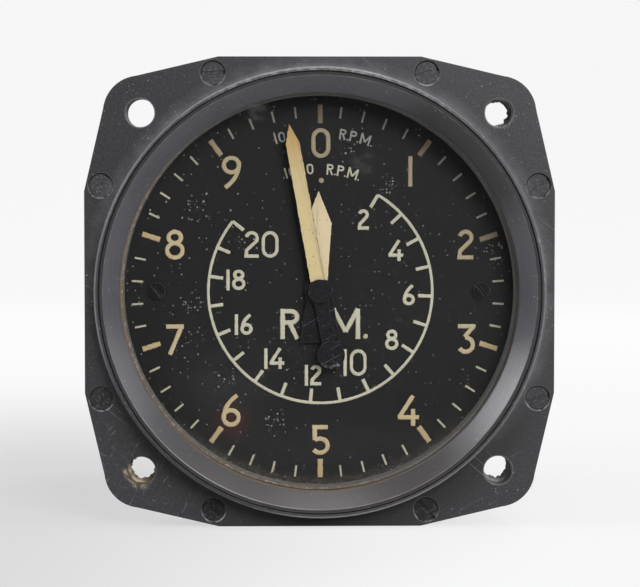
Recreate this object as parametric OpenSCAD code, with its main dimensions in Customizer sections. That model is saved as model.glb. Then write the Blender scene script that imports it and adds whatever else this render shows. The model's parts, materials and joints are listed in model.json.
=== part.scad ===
// Panel tachometer: a long and a short pointer over one dial, a drag-cup movement and a small motor.
// Y runs from front to rear, with 0 on the flange's front face.
// Z is up and X is right, seen from the front.

/* [Flange and lip] */
// Width and height of the square flange
flange_w = 82.55; // [76:0.05:92]
// Thickness of the bezel's flange
flange_t = 4; // [3.4:0.1:6]
// Distance of each fixing hole from the flange's edges
hole_edge = 9.8425; // [9.4:0.0005:10.4]
// Diameter of a panel fixing hole
hole_d = 5; // [4.4:0.1:5.6]
// Radius of each ear, round its fixing hole
ear_r = 6.5; // [5.8:0.1:7]
// Distance of the lip's outside from the flange's edge
lip_edge = 1.825; // [1.7:0.005:2.2]
// Height of the lip in front of the flange
lip_h = 4; // [3.4:0.1:6]
// Radius of the lip's outer shoulder
lip_round = 0.9; // [0.4:0.1:1.2]
// Wall of the lip round the glass ring
lip_wall = 0.75; // [0.6:0.05:0.9]
// Distance of the bezel screws from the flange's edge
screw_edge = 2.9; // [2.8:0.05:3]
// Angle of each bezel screw from the middle of its edge
screw_angle = 26; // [25:0.5:28]

/* [Glass and dial] */
// Width of the glass ring's cone and land
cone_w = 3.65; // [3.4:0.05:4.2]
// Thickness of the cover glass
glass_t = 2; // [1.5:0.1:2.5]
// Thickness of the seal behind the glass
seal_t = 0.4; // [0.3:0.05:0.5]
// Thickness of the seal in front of the glass
front_seal_t = 0.3; // [0.2:0.05:0.4]
// Depth of the dial's face behind the flange's face
dial_y = 6.6; // [6.4:0.1:9]
// Thickness of the dial
dial_t = 0.8; // [0.5:0.1:1.2]
// Distance of each dial screw from the dial's edge
dial_screw_in = 6.1; // [5.5:0.1:7]
// Width of the light ring between glass and dial
surround_t = 0.4; // [0.3:0.05:0.8]

/* [Pointers] */
// Length of the long pointer from its centre to its tip
long_len = 30.1; // [26:0.1:33]
// Half width of the long pointer at its shoulder
long_half = 1.25; // [0.8:0.05:1.6]
// Length of the long pointer's tapered tip
long_tip = 3.5; // [2.5:0.1:5]
// Distance of the long pointer's counterweight from its centre
long_tail = 11.5; // [8:0.1:14]
// Radius of the long pointer's counterweight
weight_r = 2.45; // [1.6:0.05:3]
// Angle of the long pointer left of the zero mark at rest
long_rest = 10.3; // [0:0.1:15]
// Length of the short pointer from its centre to its tip
short_len = 17.9; // [15:0.1:20]
// Half width of the short pointer at its shoulder
short_half = 2.3; // [1.6:0.05:3]
// Length of the short pointer's tapered tip
short_tip = 5.9; // [4:0.1:8]
// Length of the short pointer's tail
short_tail = 9.2; // [6:0.1:11]
// Thickness of both pointers
pointer_t = 0.4; // [0.3:0.05:0.6]

/* [Case] */
// How far the case's outside lies inside the lip's outside
case_in = 1.85; // [1.5:0.05:2.2]
// Wall of the case
case_wall = 2.3; // [1.9:0.1:2.4]
// Thickness of the case's front flange
case_flange_t = 3; // [2.5:0.1:4]
// Thickness of the case's rear wall
rear_wall_t = 2.6; // [2.2:0.1:4]
// Chamfer round the rear of the case
rear_chamfer = 2; // [1:0.1:2.2]
// Thickness of the gasket between bezel and case
gasket_t = 0.5; // [0.3:0.1:1]

/* [Movement] */
// Module of the slow wheels and the lay pinion
module_a = 0.35; // [0.33:0.01:0.4]
// Teeth of the main wheel and of the pipe wheel
main_teeth = 60; // [60:1:60]
// Teeth of the lay wheel
lay_teeth = 56; // [56:1:56]
// Leaves of both pinions
leaves = 12; // [12:1:12]
// Play of each tooth, measured along its pitch circle
tooth_play = 0.03; // [0.02:0.005:0.05]
// Thickness of the three movement plates
plate_t = 2; // [1.8:0.1:2.6]
// Space between two movement plates
plate_gap = 7; // [7:0.1:9]
// Distance of the pillars from the edge of the movement plates
pillar_in = 3.5; // [3:0.1:5]
// Turns of the hairspring
spring_turns = 4.5; // [3.5:1:5.5]

/* [Motor and rear] */
// Space for the drag cup between movement and motor
drag_gap = 15; // [14:0.1:20]
// Outer diameter of the drag cup
cup_d = 20.6; // [18:0.1:24]
// Length of the motor's shell
motor_len = 28; // [25:0.5:34]
// Thickness of the motor's end plates
motor_plate_t = 3; // [2.5:0.1:4]
// Distance of the stator's outside from the edge of the motor plates
stator_in = 7; // [7:0.1:9]
// Diameter of the motor shaft at its bearings
shaft_d = 4; // [3:0.1:5]
// Space for the leads behind the motor
lead_gap = 12; // [11:0.5:16]
// Diameter of the circle of terminal studs
stud_pcd = 20; // [18:0.5:23]
// Diameter of a stud's free end
stud_d = 3.6; // [3:0.1:3.8]

/* [Fits] */
// Radial clearance of a turning shaft
run_gap = 0.04; // [0.02:0.01:0.06]
// Radial clearance of a pivot in its jewel or bush
pivot_gap = 0.03; // [0.02:0.005:0.05]
// Clearance between pieces that are fixed together
fix_gap = 0.02; // [0.01:0.01:0.05]
// Clearance of a drop-in piece in its seat
drop_gap = 0.05; // [0.03:0.01:0.1]
// Radial clearance of a screw in its hole
screw_gap = 0.1; // [0.05:0.05:0.2]

/* [Hidden] */
$fn = 96;
// How far a cut runs past the face that it opens
past = 1;
// Bezel, from its front to its rear
half_w = flange_w / 2;
hole_at = half_w - hole_edge;
hole_r = hole_d / 2;
lip_r = half_w - lip_edge;
recess_r = lip_r - lip_wall;
sight_r = recess_r - cone_w;
shoulder_r = sight_r + drop_gap;
seat_t = 1.4;
seat_y = flange_t - seat_t;
glass_play = 0.4;
glass_r = recess_r - glass_play;
glass_y1 = seat_y - seal_t;
glass_y0 = glass_y1 - glass_t;
seal_show = 0.15;
ring_y1 = glass_y0 - front_seal_t;
ring_sink = 0.4;
ring_y0 = ring_sink - lip_h;
ring_chamfer = 0.15;
ring_land = 0.6;
ring_edge = 0.45;
ear_bite = 0.05;
lip_root = 0.5;
screw_out = half_w - screw_edge;
screw_along = screw_out * tan(screw_angle);
screw_end = 1;
flat_half = screw_along - screw_end;
screw_head_r = 2.1;
screw_play = 0.15;
screw_recess_r = screw_head_r + screw_play;
screw_recess_y = 1.7;
screw_sink = 0.5;
screw_r = 1.3;
slot_w = 0.7;
// Slot of each bezel screw, anticlockwise from level
screw_turns = [20, 3, 55, 65, 150, 130, 15, 35];
// Case
case_r = lip_r - case_in;
case_bore = case_r - case_wall;
case_edge = 0.3;
case_y0 = flange_t + gasket_t;
flange_y1 = case_y0 + case_flange_t;
gasket_edge = 0.5;
gasket_play = 0.3;
nut_spigot_r = hole_r + 0.1 * hole_d;
nut_bore_r = hole_r - 0.08 * hole_d;
nut_body_r = nut_spigot_r + 0.9;
nut_flange_r = nut_body_r + 0.7;
nut_flange_t = 1;
nut_len = 4.4;
nut_sink = 0.1;
// Dial and movement, from front to rear
dial_play = 0.3;
dial_r = case_bore - dial_play;
dial_y1 = dial_y + dial_t;
dial_screw_x = dial_r - dial_screw_in;
dial_screw_r = 0.8;
dial_head_r = 1.5;
dial_head_h = 0.7;
dial_slot_w = 0.45;
dial_slot_angle = 128;
dial_hole_play = 0.5;
post_h = 1.2;
post_r = 2.4;
post_foot_r = 1.4;
post_short = 0.2;
post_floor = 0.5;
dial_screw_end = 0.8;
front_y0 = dial_y1 + post_h;
front_y1 = front_y0 + plate_t;
mid_y0 = front_y1 + plate_gap;
mid_y1 = mid_y0 + plate_t;
rear_y0 = mid_y1 + plate_gap;
rear_y1 = rear_y0 + plate_t;
motor_y0 = rear_y1 + drag_gap;
motor_y1 = motor_y0 + motor_plate_t;
shell_y1 = motor_y1 + motor_len;
motor_y2 = shell_y1 + motor_plate_t;
wall_y0 = motor_y2 + lead_gap;
wall_y1 = wall_y0 + rear_wall_t;
wide_plate_in = 2.3;
wide_plate_r = case_bore - wide_plate_in;
motor_plate_in = 4.3;
motor_plate_r = case_bore - motor_plate_in;
plate_in = 6.8;
plate_r = case_bore - plate_in;
pillar_at = plate_r - pillar_in;
pillar_r = 2.3;
pillar_angles = [90, 210, 330];
between_angles = [30, 150, 270];
frame_bolt_r = 1.2;
frame_head_r = 2;
frame_head_h = 0.9;
frame_bolt_grip = 2.2;
fine_slot_w = 0.5;
// Wheels: the slow pair fixes the distance, and the fast pair takes its module from it
lay_at = module_a * (main_teeth + leaves) / 2;
lay_angle = 270;
module_b = 2 * lay_at / (lay_teeth + leaves);
wheel_add = 0.7;
leaf_add = 1;
root_add = 0.25;
leaf_tip_r = module_a * (leaves / 2 + leaf_add);
wheel_t = 0.9;
window_at = 0.62;
window_size = 0.2;
window_angles = [for (i = [0:4]) 72 * i + 18];
wheel_hub_r = 2.4;
wheel_hub_step = 0.5;
pinion_hub = 1;
arbor_r = 0.9;
pivot_r = 0.5;
fine_pivot_r = 0.4;
spindle_r = 1;
pipe_r = 1.7;
bush_wall = 1.5;
bush_front = 0.7;
bush_rear = 0.3;
bush_sink = 0.4;
pivot_end = 0.8;
jewel_t = 0.9;
jewel_r = 1.6;
spindle_jewel_r = 2.4;
jewel_end = 0.05;
pivot_step = 0.4;
spindle_step = 0.6;
leaf_clear = 0.75;
main_wheel_gap = 1.9;
main_wheel_y = mid_y1 + main_wheel_gap;
lay_wheel_gap = 4.6;
lay_wheel_y = front_y1 + lay_wheel_gap;
pipe_wheel_gap = 1.3;
pipe_wheel_y = front_y1 + pipe_wheel_gap;
lay_pinion_front = 0.8;
lay_pinion_rear = 2;
centre_pinion_front = 0.3;
centre_pinion_rear = 0.6;
// Pointers
long_y = 4;
pointer_space = 0.9;
short_y = long_y + pointer_t + pointer_space;
pipe_show = 0.2;
pipe_y0 = short_y - pipe_show;
pipe_hub_len = 1.5;
pipe_y1 = pipe_wheel_y + pipe_hub_len;
hub_r = 2.1;
hub_wall = 0.3;
hub_cap = 0.7;
hub_foot = 0.4;
hub_bite = 0.1;
hub_trim = 0.1;
short_hub_foot = 0.6;
long_root_half = 1.3;
long_tail_w = 2.5;
weight_h = 0.5;
short_root_half = 1.35;
short_tail_half = 2.2;
short_fan_half = 3.6;
// Drag cup, magnet and motor
cup_r = cup_d / 2;
cup_wall = 0.5;
cup_front = 1.5;
cup_y0 = rear_y1 + cup_front;
cup_rear = 4;
cup_y1 = motor_y0 - cup_rear;
cup_hub_wall = 1.2;
cup_hub_front = 0.9;
cup_hub_rear = 1.1;
magnet_gap = 0.8;
magnet_r = cup_r - cup_wall - magnet_gap;
magnet_front = 1.7;
magnet_y0 = cup_y0 + magnet_front;
drum_rear = 3.1;
drum_base_y = motor_y0 - drum_rear;
drum_base_t = 1.5;
drum_gap = 1;
drum_wall = 1.7;
drum_front = 0.9;
shaft_r = shaft_d / 2;
shaft_step = 1;
step_r = shaft_r + shaft_step;
step_end = 2.2;
shaft_end = 1.6;
shaft_bush_wall = 2;
bush_r = shaft_r + shaft_bush_wall;
motor_bush_in = 2;
motor_bush_front = 0.4;
motor_bush_rear = 1;
stator_r = motor_plate_r - stator_in;
stator_end = 6;
stator_y0 = motor_y1 + stator_end;
stator_y1 = shell_y1 - stator_end;
stator_mid = (stator_y0 + stator_y1) / 2;
shell_wall = 2;
rotor_r = stator_r / 2;
air_gap = 0.4;
rotor_in = 0.2;
core_end = 0.6;
magnet_start = 1.6;
tooth_tip = 1.2;
slot_r0 = rotor_r + air_gap + tooth_tip;
yoke_t = 4;
slot_r1 = stator_r - yoke_t;
slot_half = 1.6;
slot_mouth = 1.2;
coil_gap = 0.2;
coil_len = 4;
coil_side_gap = 0.15;
coil_end_gap = 0.6;
tie_out = 4.5;
tie_at = stator_r + tie_out;
tie_r = 1.25;
tie_head_r = 2.3;
tie_head_h = 1.8;
tie_start = 1;
tie_slot_w = 0.6;
tie_slot_y = 1;
lead_out = 0.6;
lead_at = (slot_r0 + slot_r1) / 2 + lead_out;
lead_r = 0.8;
lead_play = 0.6;
// Pillars and screws that hold the motor on the rear wall
mount_out = 3;
mount_at = stator_r + mount_out;
mount_r = 3.2;
mount_foot_r = 2;
mount_foot_y = 1;
mount_bore_len = 8;
rear_screw_r = 1.5;
rear_screw_len = 7;
rear_head_r = 2.9;
rear_head_h = 2;
rear_slot_y = 1.1;
rear_slot_w = 0.8;
// Terminals
stud_at = stud_pcd / 2;
stud_r = stud_d / 2;
stud_step = 0.2;
stud_body_r = stud_r + stud_step;
stud_free = 7;
stud_neck = 0.3;
stud_head_r = 3;
stud_head_h = 2.4;
stud_tail_r = 1.2;
stud_tail_len = 2;
spigot_wall = 2.5;
spigot_r = stud_at + spigot_wall;
spigot_out = 0.8;
spigot_y0 = wall_y0 - spigot_out;
block_rim = 6;
block_r = spigot_r + block_rim;
block_h = 6;
block_y1 = wall_y1 + block_h;
block_chamfer = 1;
rib_h = 5;
rib_w = 2;
rib_root = 1.2;
rib_end = 1.5;
rib_post_r = 2.4;
block_screw_in = 3.2;
block_screw_at = block_r - block_screw_in;
block_screw_r = 1.1;
block_head_r = 1.9;
block_head_h = 1.3;
block_slot_y = 0.7;
block_slot_w = 0.6;
block_screw_sink = 0.4;
nut_h = 3;
nut_y1 = block_y1 + nut_h;
nut_r = 3.7;
stud_head_y0 = spigot_y0 - stud_head_h;
stud_tail_y0 = stud_head_y0 - stud_tail_len;

// A flat shape, drawn as seen from the front, between two depths
module slab(y0, y1) {
  rotate([90, 0, 0])
    translate([0, 0, -y1])
      linear_extrude(y1 - y0)
        children();
}
module rod(r, y0, y1) {
  slab(y0, y1)
    circle(r);
}
module ring(outer, inner, y0, y1) {
  slab(y0, y1)
    difference() {
      circle(outer);
      circle(inner);
    }
}
// A turned piece from a list of [radius, depth] points
module turned(points) {
  rotate([90, 0, 0])
    rotate_extrude()
      polygon([for (p = points) [p[0], -p[1]]]);
}
// Turn a piece that is drawn on +X to an angle counted from there, anticlockwise seen from the front
module turn(a) {
  rotate([0, -a, 0])
    children();
}
module polar(a, r) {
  turn(a)
    translate([r, 0, 0])
      children();
}
module spots(angles, r) {
  for (a = angles)
    polar(a, r)
      children();
}
module dots(angles, at, r) {
  for (a = angles)
    rotate(a)
      translate([at, 0])
        circle(r);
}
module slot_cut(y0, depth, width, len, a) {
  turn(a)
    translate([-len / 2, y0 - past, -width / 2])
      cube([len, depth + past, width]);
}
function spin2(p, a) = [p[0] * cos(a) - p[1] * sin(a), p[0] * sin(a) + p[1] * cos(a)];

// A screw slot cut into a face that looks to the rear
module rear_slot(y0, width, len, a) {
  turn(a)
    translate([-len / 2, y0, -width / 2])
      cube([len, len, width]);
}
// Flange outline: straight middles, then edges that slope to the round ears and end just inside them
module outline(inset = 0) {
  w = half_w - inset;
  e = ear_r - inset;
  inner = e - ear_bite;
  away = [flat_half - hole_at, w - hole_at];
  lean = atan2(away[1], away[0]) - acos(inner / norm(away));
  touch = [hole_at + inner * cos(lean), hole_at + inner * sin(lean)];
  corner = [[w, flat_half], [touch[1], touch[0]], touch, [flat_half, w]];
  polygon([for (k = [0:3]) for (p = corner) spin2(p, 90 * k)]);
  for (k = [0:3])
    rotate(90 * k)
      translate([hole_at, hole_at])
        circle(e);
}
module at_corners(angles) {
  for (a = angles)
    turn(a)
      translate([hole_at, 0, hole_at])
        children();
}
screw_spots = [for (k = [0:3]) each [spin2([screw_along, screw_out], 90 * k),
  spin2([-screw_along, screw_out], 90 * k)]];
module screw_dots(r) {
  for (p = screw_spots)
    translate(p)
      circle(r);
}
module corner_dots(r, turns) {
  for (k = turns)
    rotate(90 * k)
      translate([hole_at, hole_at])
        circle(r);
}
lip_arc = [for (a = [0:18:90]) [lip_r - lip_round + lip_round * cos(a),
  -lip_h + lip_round - lip_round * sin(a)]];

module bezel() {
  color([0.07, 0.07, 0.08])
    difference() {
      union() {
        slab(0, flange_t)
          difference() {
            outline();
            circle(shoulder_r);
            corner_dots(hole_r, [0:3]);
            screw_dots(screw_r + screw_gap);
          }
        turned(concat([[sight_r, lip_root], [lip_r, lip_root]], lip_arc, [[sight_r, -lip_h]]));
      }
      rod(recess_r, -lip_h - past, seat_y);
      slab(-past, screw_recess_y)
        screw_dots(screw_recess_r);
    }
}
module glass_ring() {
  outer = recess_r - drop_gap;
  color([0.12, 0.12, 0.13])
    turned([[sight_r, ring_y1], [outer, ring_y1], [outer, ring_y0 + ring_chamfer],
      [outer - ring_chamfer, ring_y0], [outer - ring_chamfer - ring_land, ring_y0],
      [sight_r, ring_y1 - ring_edge]]);
}
module front_glass_seal() {
  color([0.45, 0.25, 0.12])
    ring(glass_r, sight_r - seal_show, ring_y1, glass_y0);
}
module cover_glass() {
  color([0.8, 0.85, 0.85, 0.3])
    rod(glass_r, glass_y0, glass_y1);
}
module rear_glass_seal() {
  color([0.2, 0.15, 0.12])
    ring(glass_r, shoulder_r + screw_gap, glass_y1, seat_y);
}
module dial_surround() {
  outer = shoulder_r - drop_gap;
  color([0.55, 0.55, 0.53])
    ring(outer, outer - surround_t, glass_y1 + screw_gap, dial_y);
}
module bezel_screws() {
  color([0.1, 0.1, 0.1])
    for (i = [0:7])
      translate([screw_spots[i][0], 0, screw_spots[i][1]])
        difference() {
          union() {
            rod(screw_head_r, screw_sink, screw_recess_y);
            rod(screw_r, screw_recess_y, flange_y1 - screw_gap);
          }
          slot_cut(screw_sink, slot_w, slot_w, 3 * screw_head_r, screw_turns[i]);
        }
}
module case_gasket() {
  color([0.16, 0.13, 0.1])
    slab(flange_t, case_y0)
      difference() {
        outline(gasket_edge);
        circle(case_bore + gasket_play);
        corner_dots(nut_spigot_r + screw_gap, [0:3]);
        screw_dots(screw_r + gasket_play);
      }
}
module captive_nuts() {
  color([0.5, 0.42, 0.28])
    at_corners([0, 180, 270])
      difference() {
        union() {
          rod(nut_spigot_r, case_y0 + nut_sink, flange_y1);
          rod(nut_flange_r, flange_y1, flange_y1 + nut_flange_t);
          rod(nut_body_r, flange_y1, flange_y1 + nut_len);
        }
        rod(nut_bore_r, case_y0 - past, flange_y1 + nut_len + past);
      }
}
module case() {
  color([0.08, 0.08, 0.08])
    difference() {
      union() {
        slab(case_y0, flange_y1)
          difference() {
            outline(case_edge);
            circle(case_bore);
            corner_dots(nut_spigot_r + fix_gap, [0, 2, 3]);
            corner_dots(hole_r, [1]);
            screw_dots(screw_r + drop_gap);
          }
        turned([[case_bore, case_y0], [case_r, case_y0], [case_r, wall_y1 - rear_chamfer],
          [case_r - rear_chamfer, wall_y1], [spigot_r + screw_gap, wall_y1],
          [spigot_r + screw_gap, wall_y0], [case_bore - rear_chamfer / 2, wall_y0],
          [case_bore, wall_y0 - rear_chamfer / 2]]);
      }
      slab(wall_y0 - past, wall_y1 + past) {
        dots(pillar_angles, mount_at, rear_screw_r + screw_gap);
        dots(between_angles, block_screw_at, block_screw_r + drop_gap);
      }
    }
}
module dial() {
  color([0.05, 0.05, 0.06])
    slab(dial_y, dial_y1)
      difference() {
        circle(dial_r);
        circle(pipe_r + dial_hole_play);
        dots([0, 180], dial_screw_x, dial_screw_r + screw_gap);
      }
}
module dial_posts() {
  color([0.72, 0.6, 0.3])
    spots([0, 180], dial_screw_x)
      difference() {
        union() {
          rod(post_r, dial_y1, front_y0);
          rod(post_foot_r, front_y0, front_y1 - post_short);
        }
        rod(dial_screw_r + drop_gap, dial_y1 - past, front_y1 - post_floor);
      }
}
module dial_screws() {
  color([0.05, 0.05, 0.05])
    spots([0, 180], dial_screw_x)
      difference() {
        union() {
          rod(dial_head_r, dial_y - dial_head_h, dial_y);
          rod(dial_screw_r, dial_y, front_y1 - dial_screw_end);
        }
        slot_cut(dial_y - dial_head_h, dial_head_h / 2, dial_slot_w, 3 * dial_head_r, dial_slot_angle);
      }
}
module front_plate() {
  color([0.75, 0.63, 0.32])
    slab(front_y0, front_y1)
      difference() {
        circle(wide_plate_r);
        circle(pipe_r + bush_wall);
        dots([lay_angle], lay_at, bush_wall);
        dots(pillar_angles, pillar_at, frame_bolt_r + drop_gap);
        dots([0, 180], dial_screw_x, post_foot_r);
      }
}
module pipe_bush() {
  color([0.7, 0.5, 0.25])
    ring(pipe_r + bush_wall, pipe_r + run_gap, front_y0 - bush_front, front_y1 + bush_rear);
}
module middle_plate() {
  color([0.75, 0.63, 0.32])
    slab(mid_y0, mid_y1)
      difference() {
        circle(plate_r);
        circle(jewel_r);
        dots([lay_angle], lay_at, leaf_tip_r + leaf_clear);
        dots(pillar_angles, pillar_at, frame_bolt_r + drop_gap);
      }
}
module rear_plate() {
  color([0.75, 0.63, 0.32])
    slab(rear_y0, rear_y1)
      difference() {
        circle(plate_r);
        circle(spindle_jewel_r);
        dots([lay_angle], lay_at, bush_wall);
        dots(pillar_angles, pillar_at, frame_bolt_r + drop_gap);
        dots([90], spring_stud_at, spring_stud_r + drop_gap);
      }
}
module jewels() {
  color([0.55, 0.08, 0.15]) {
    ring(jewel_r, fine_pivot_r + pivot_gap, mid_y0, mid_y0 + jewel_t);
    ring(jewel_r, fine_pivot_r + pivot_gap, mid_y1 - jewel_t, mid_y1);
    ring(spindle_jewel_r, spindle_r + pivot_gap, rear_y0 + bush_sink, rear_y1 - bush_sink);
  }
}
module lay_bushes() {
  color([0.7, 0.5, 0.25])
    polar(lay_angle, lay_at) {
      ring(bush_wall, pivot_r + pivot_gap, front_y0 + bush_sink, front_y1);
      ring(bush_wall, pivot_r + pivot_gap, rear_y0, rear_y1 - bush_sink);
    }
}
module pillars(y0, y1) {
  color([0.72, 0.6, 0.3])
    spots(pillar_angles, pillar_at)
      ring(pillar_r, frame_bolt_r + drop_gap, y0, y1);
}
module front_pillars() {
  pillars(front_y1, mid_y0);
}
module mid_pillars() {
  pillars(mid_y1, rear_y0);
}
module rear_pillars() {
  pillars(rear_y1, motor_y0);
}
module frame_bolts() {
  color([0.6, 0.6, 0.6])
    spots(pillar_angles, pillar_at)
      difference() {
        union() {
          rod(frame_head_r, front_y0 - frame_head_h, front_y0);
          rod(frame_bolt_r, front_y0, motor_y0 + frame_bolt_grip);
        }
        slot_cut(front_y0 - frame_head_h, frame_head_h / 2, fine_slot_w, 3 * frame_head_r, 30);
      }
}

// Hairspring: a flat strip wound outwards from its collet to its stud
spring_back = 2.3;
spring_w = 0.8;
spring_y0 = rear_y0 - spring_back;
spring_y1 = spring_y0 + spring_w;
collet_r = 1.9;
collet_front = 0.3;
collet_rear = 0.5;
spring_half = 0.06;
spring_clear = 1.9;
spring_end_r = lay_at - leaf_tip_r - spring_clear;
spring_stud_r = 0.65;
spring_stud_at = spring_end_r + spring_stud_r + screw_gap;
stud_show = 0.4;
stud_press = 0.03;
spring_steps = floor(spring_turns * 20);
function spring_at(t, side) = spin2([collet_r + spring_half + fix_gap
  + (spring_end_r - collet_r - spring_half) * t + side * spring_half, 0],
  90 + spring_turns * 360 * (t - 1));
module hairspring() {
  color([0.35, 0.4, 0.55])
    slab(spring_y0, spring_y1)
      polygon(concat([for (i = [0:spring_steps]) spring_at(i / spring_steps, 1)],
        [for (i = [spring_steps:-1:0]) spring_at(i / spring_steps, -1)]));
}
module hairspring_stud() {
  color([0.72, 0.6, 0.3])
    polar(90, spring_stud_at)
      union() {
        rod(spring_stud_r, spring_y0 - stud_show, rear_y0);
        rod(spring_stud_r + stud_press, rear_y0, rear_y1 - bush_rear);
      }
}
module hairspring_collet() {
  color([0.72, 0.6, 0.3])
    ring(collet_r, spindle_r + fix_gap, spring_y0 - collet_front, spring_y1 + collet_rear);
}

module motor_front_plate() {
  color([0.62, 0.63, 0.64])
    slab(motor_y0, motor_y1)
      difference() {
        circle(motor_plate_r);
        circle(bush_r);
        dots(pillar_angles, pillar_at, frame_bolt_r + drop_gap);
        dots(between_angles, tie_at, tie_r + drop_gap);
      }
}
module motor_rear_plate() {
  color([0.62, 0.63, 0.64])
    slab(shell_y1, motor_y2)
      difference() {
        circle(motor_plate_r);
        circle(bush_r);
        dots(pillar_angles, mount_at, mount_foot_r);
        dots(pillar_angles, lead_at, lead_r + lead_play);
        dots(between_angles, tie_at, tie_r + drop_gap);
      }
}
module motor_shell() {
  color([0.55, 0.56, 0.57])
    ring(stator_r + shell_wall, stator_r + drop_gap, motor_y1, shell_y1);
}
slot_angles = [for (i = [0:11]) 30 * i];
module stator_core() {
  color([0.4, 0.41, 0.43])
    slab(stator_y0, stator_y1)
      difference() {
        circle(stator_r);
        circle(rotor_r + air_gap);
        for (a = slot_angles)
          rotate(a) {
            translate([slot_r0, -slot_half])
              square([slot_r1 - slot_r0, 2 * slot_half]);
            translate([rotor_r, -slot_mouth / 2])
              square([slot_r0 - rotor_r + air_gap, slot_mouth]);
          }
      }
}
module stator_windings() {
  color([0.6, 0.28, 0.12])
    union() {
      ring(slot_r1 - coil_gap, slot_r0 + coil_gap, stator_y0 - coil_gap - coil_len, stator_y0 - coil_gap);
      ring(slot_r1 - coil_gap, slot_r0 + coil_gap, stator_y1 + coil_gap, stator_y1 + coil_gap + coil_len);
      for (a = slot_angles)
        turn(a)
          translate([slot_r0 + coil_end_gap, stator_y0 - coil_len / 4, coil_side_gap - slot_half])
            cube([slot_r1 - slot_r0 - 2 * coil_end_gap, stator_y1 - stator_y0 + coil_len / 2,
              2 * (slot_half - coil_side_gap)]);
    }
}
module motor_bushes() {
  color([0.7, 0.5, 0.25]) {
    ring(bush_r, shaft_r + run_gap, motor_y0 - motor_bush_front, motor_y1 + motor_bush_in);
    ring(bush_r, shaft_r + run_gap, shell_y1 - motor_bush_in, motor_y2 + motor_bush_rear);
  }
}
module motor_bolts() {
  color([0.6, 0.6, 0.6])
    spots(between_angles, tie_at)
      difference() {
        union() {
          rod(tie_r, motor_y0 + tie_start, motor_y2);
          rod(tie_head_r, motor_y2, motor_y2 + tie_head_h);
        }
        rear_slot(motor_y2 + tie_slot_y, tie_slot_w, 3 * tie_head_r, 20);
      }
}
module mounting_pillars() {
  color([0.72, 0.6, 0.3])
    spots(pillar_angles, mount_at)
      difference() {
        union() {
          rod(mount_r, motor_y2, wall_y0);
          rod(mount_foot_r - fix_gap, shell_y1 + mount_foot_y, motor_y2);
        }
        rod(rear_screw_r + drop_gap, wall_y0 - mount_bore_len, wall_y0 + past);
      }
}
module rear_screws() {
  color([0.5, 0.5, 0.5])
    spots(pillar_angles, mount_at)
      difference() {
        union() {
          rod(rear_screw_r, wall_y0 - rear_screw_len, wall_y1);
          rod(rear_head_r, wall_y1, wall_y1 + rear_head_h);
        }
        rear_slot(wall_y1 + rear_slot_y, rear_slot_w, 3 * rear_head_r, 50);
      }
}
module terminal_block() {
  color([0.1, 0.07, 0.05])
    difference() {
      union() {
        turned([[0, spigot_y0], [spigot_r, spigot_y0], [spigot_r, wall_y1], [block_r, wall_y1],
          [block_r, block_y1 - block_chamfer], [block_r - block_chamfer, block_y1], [0, block_y1]]);
        rod(rib_post_r, block_y1 - past, block_y1 + rib_h);
        for (a = between_angles)
          turn(a)
            translate([rib_root, block_y1 - past, -rib_w / 2])
              cube([spigot_r - rib_root - rib_end, rib_h + past, rib_w]);
      }
      slab(spigot_y0 - past, block_y1 + past)
        dots(pillar_angles, stud_at, stud_body_r + fix_gap);
      slab(wall_y1 - past, block_y1 + past)
        dots(between_angles, block_screw_at, block_screw_r + screw_gap);
    }
}
module terminal_studs() {
  color([0.75, 0.62, 0.3])
    spots(pillar_angles, stud_at)
      union() {
        rod(stud_tail_r, stud_tail_y0, stud_head_y0);
        rod(stud_head_r, stud_head_y0, spigot_y0);
        rod(stud_body_r, spigot_y0, nut_y1 + stud_neck);
        rod(stud_r, nut_y1 + stud_neck, nut_y1 + stud_free);
      }
}
module terminal_nuts() {
  color([0.72, 0.6, 0.3])
    spots(pillar_angles, stud_at)
      slab(block_y1, nut_y1)
        difference() {
          circle(nut_r, $fn = 6);
          circle(stud_body_r + fix_gap);
        }
}
module block_screws() {
  color([0.5, 0.5, 0.5])
    spots(between_angles, block_screw_at)
      difference() {
        union() {
          rod(block_screw_r, wall_y0 + block_screw_sink, block_y1);
          rod(block_head_r, block_y1, block_y1 + block_head_h);
        }
        rear_slot(block_y1 + block_slot_y, block_slot_w, 3 * block_head_r, 35);
      }
}
module motor_leads() {
  y = stud_tail_y0 - lead_r;
  color([0.5, 0.1, 0.08])
    for (a = pillar_angles)
      turn(a)
        union() {
          translate([stud_at - lead_out, y, 0])
            rotate([0, 90, 0])
              cylinder(r = lead_r, h = lead_at - stud_at + lead_out);
          translate([lead_at, y, 0])
            sphere(lead_r);
          translate([lead_at, 0, 0])
            rod(lead_r, stator_y1 + coil_gap + coil_len + drop_gap, y);
        }
}

module motor_shaft() {
  color([0.65, 0.66, 0.67])
    union() {
      rod(shaft_r, magnet_y0, motor_y1 + step_end);
      rod(step_r, motor_y1 + step_end, shell_y1 - step_end);
      rod(shaft_r, shell_y1 - step_end, motor_y2 + shaft_end);
    }
}
module rotor_core() {
  color([0.45, 0.46, 0.48])
    ring(rotor_r, step_r + fix_gap, stator_y0 + rotor_in, stator_mid + core_end);
}
module rotor_magnet() {
  color([0.3, 0.3, 0.32])
    ring(rotor_r - rotor_in, step_r + fix_gap, stator_mid + magnet_start, stator_y1 - rotor_in);
}
module drag_magnet() {
  color([0.3, 0.3, 0.32])
    ring(magnet_r, shaft_r + fix_gap, magnet_y0, drum_base_y);
}
module flux_drum() {
  bore = shaft_r + fix_gap;
  inner = cup_r + drum_gap;
  outer = inner + drum_wall;
  mouth = cup_y0 + drum_front;
  color([0.5, 0.5, 0.52])
    turned([[bore, drum_base_y], [inner, drum_base_y], [inner, mouth], [outer, mouth],
      [outer, drum_base_y + drum_base_t], [bore, drum_base_y + drum_base_t]]);
}
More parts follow.
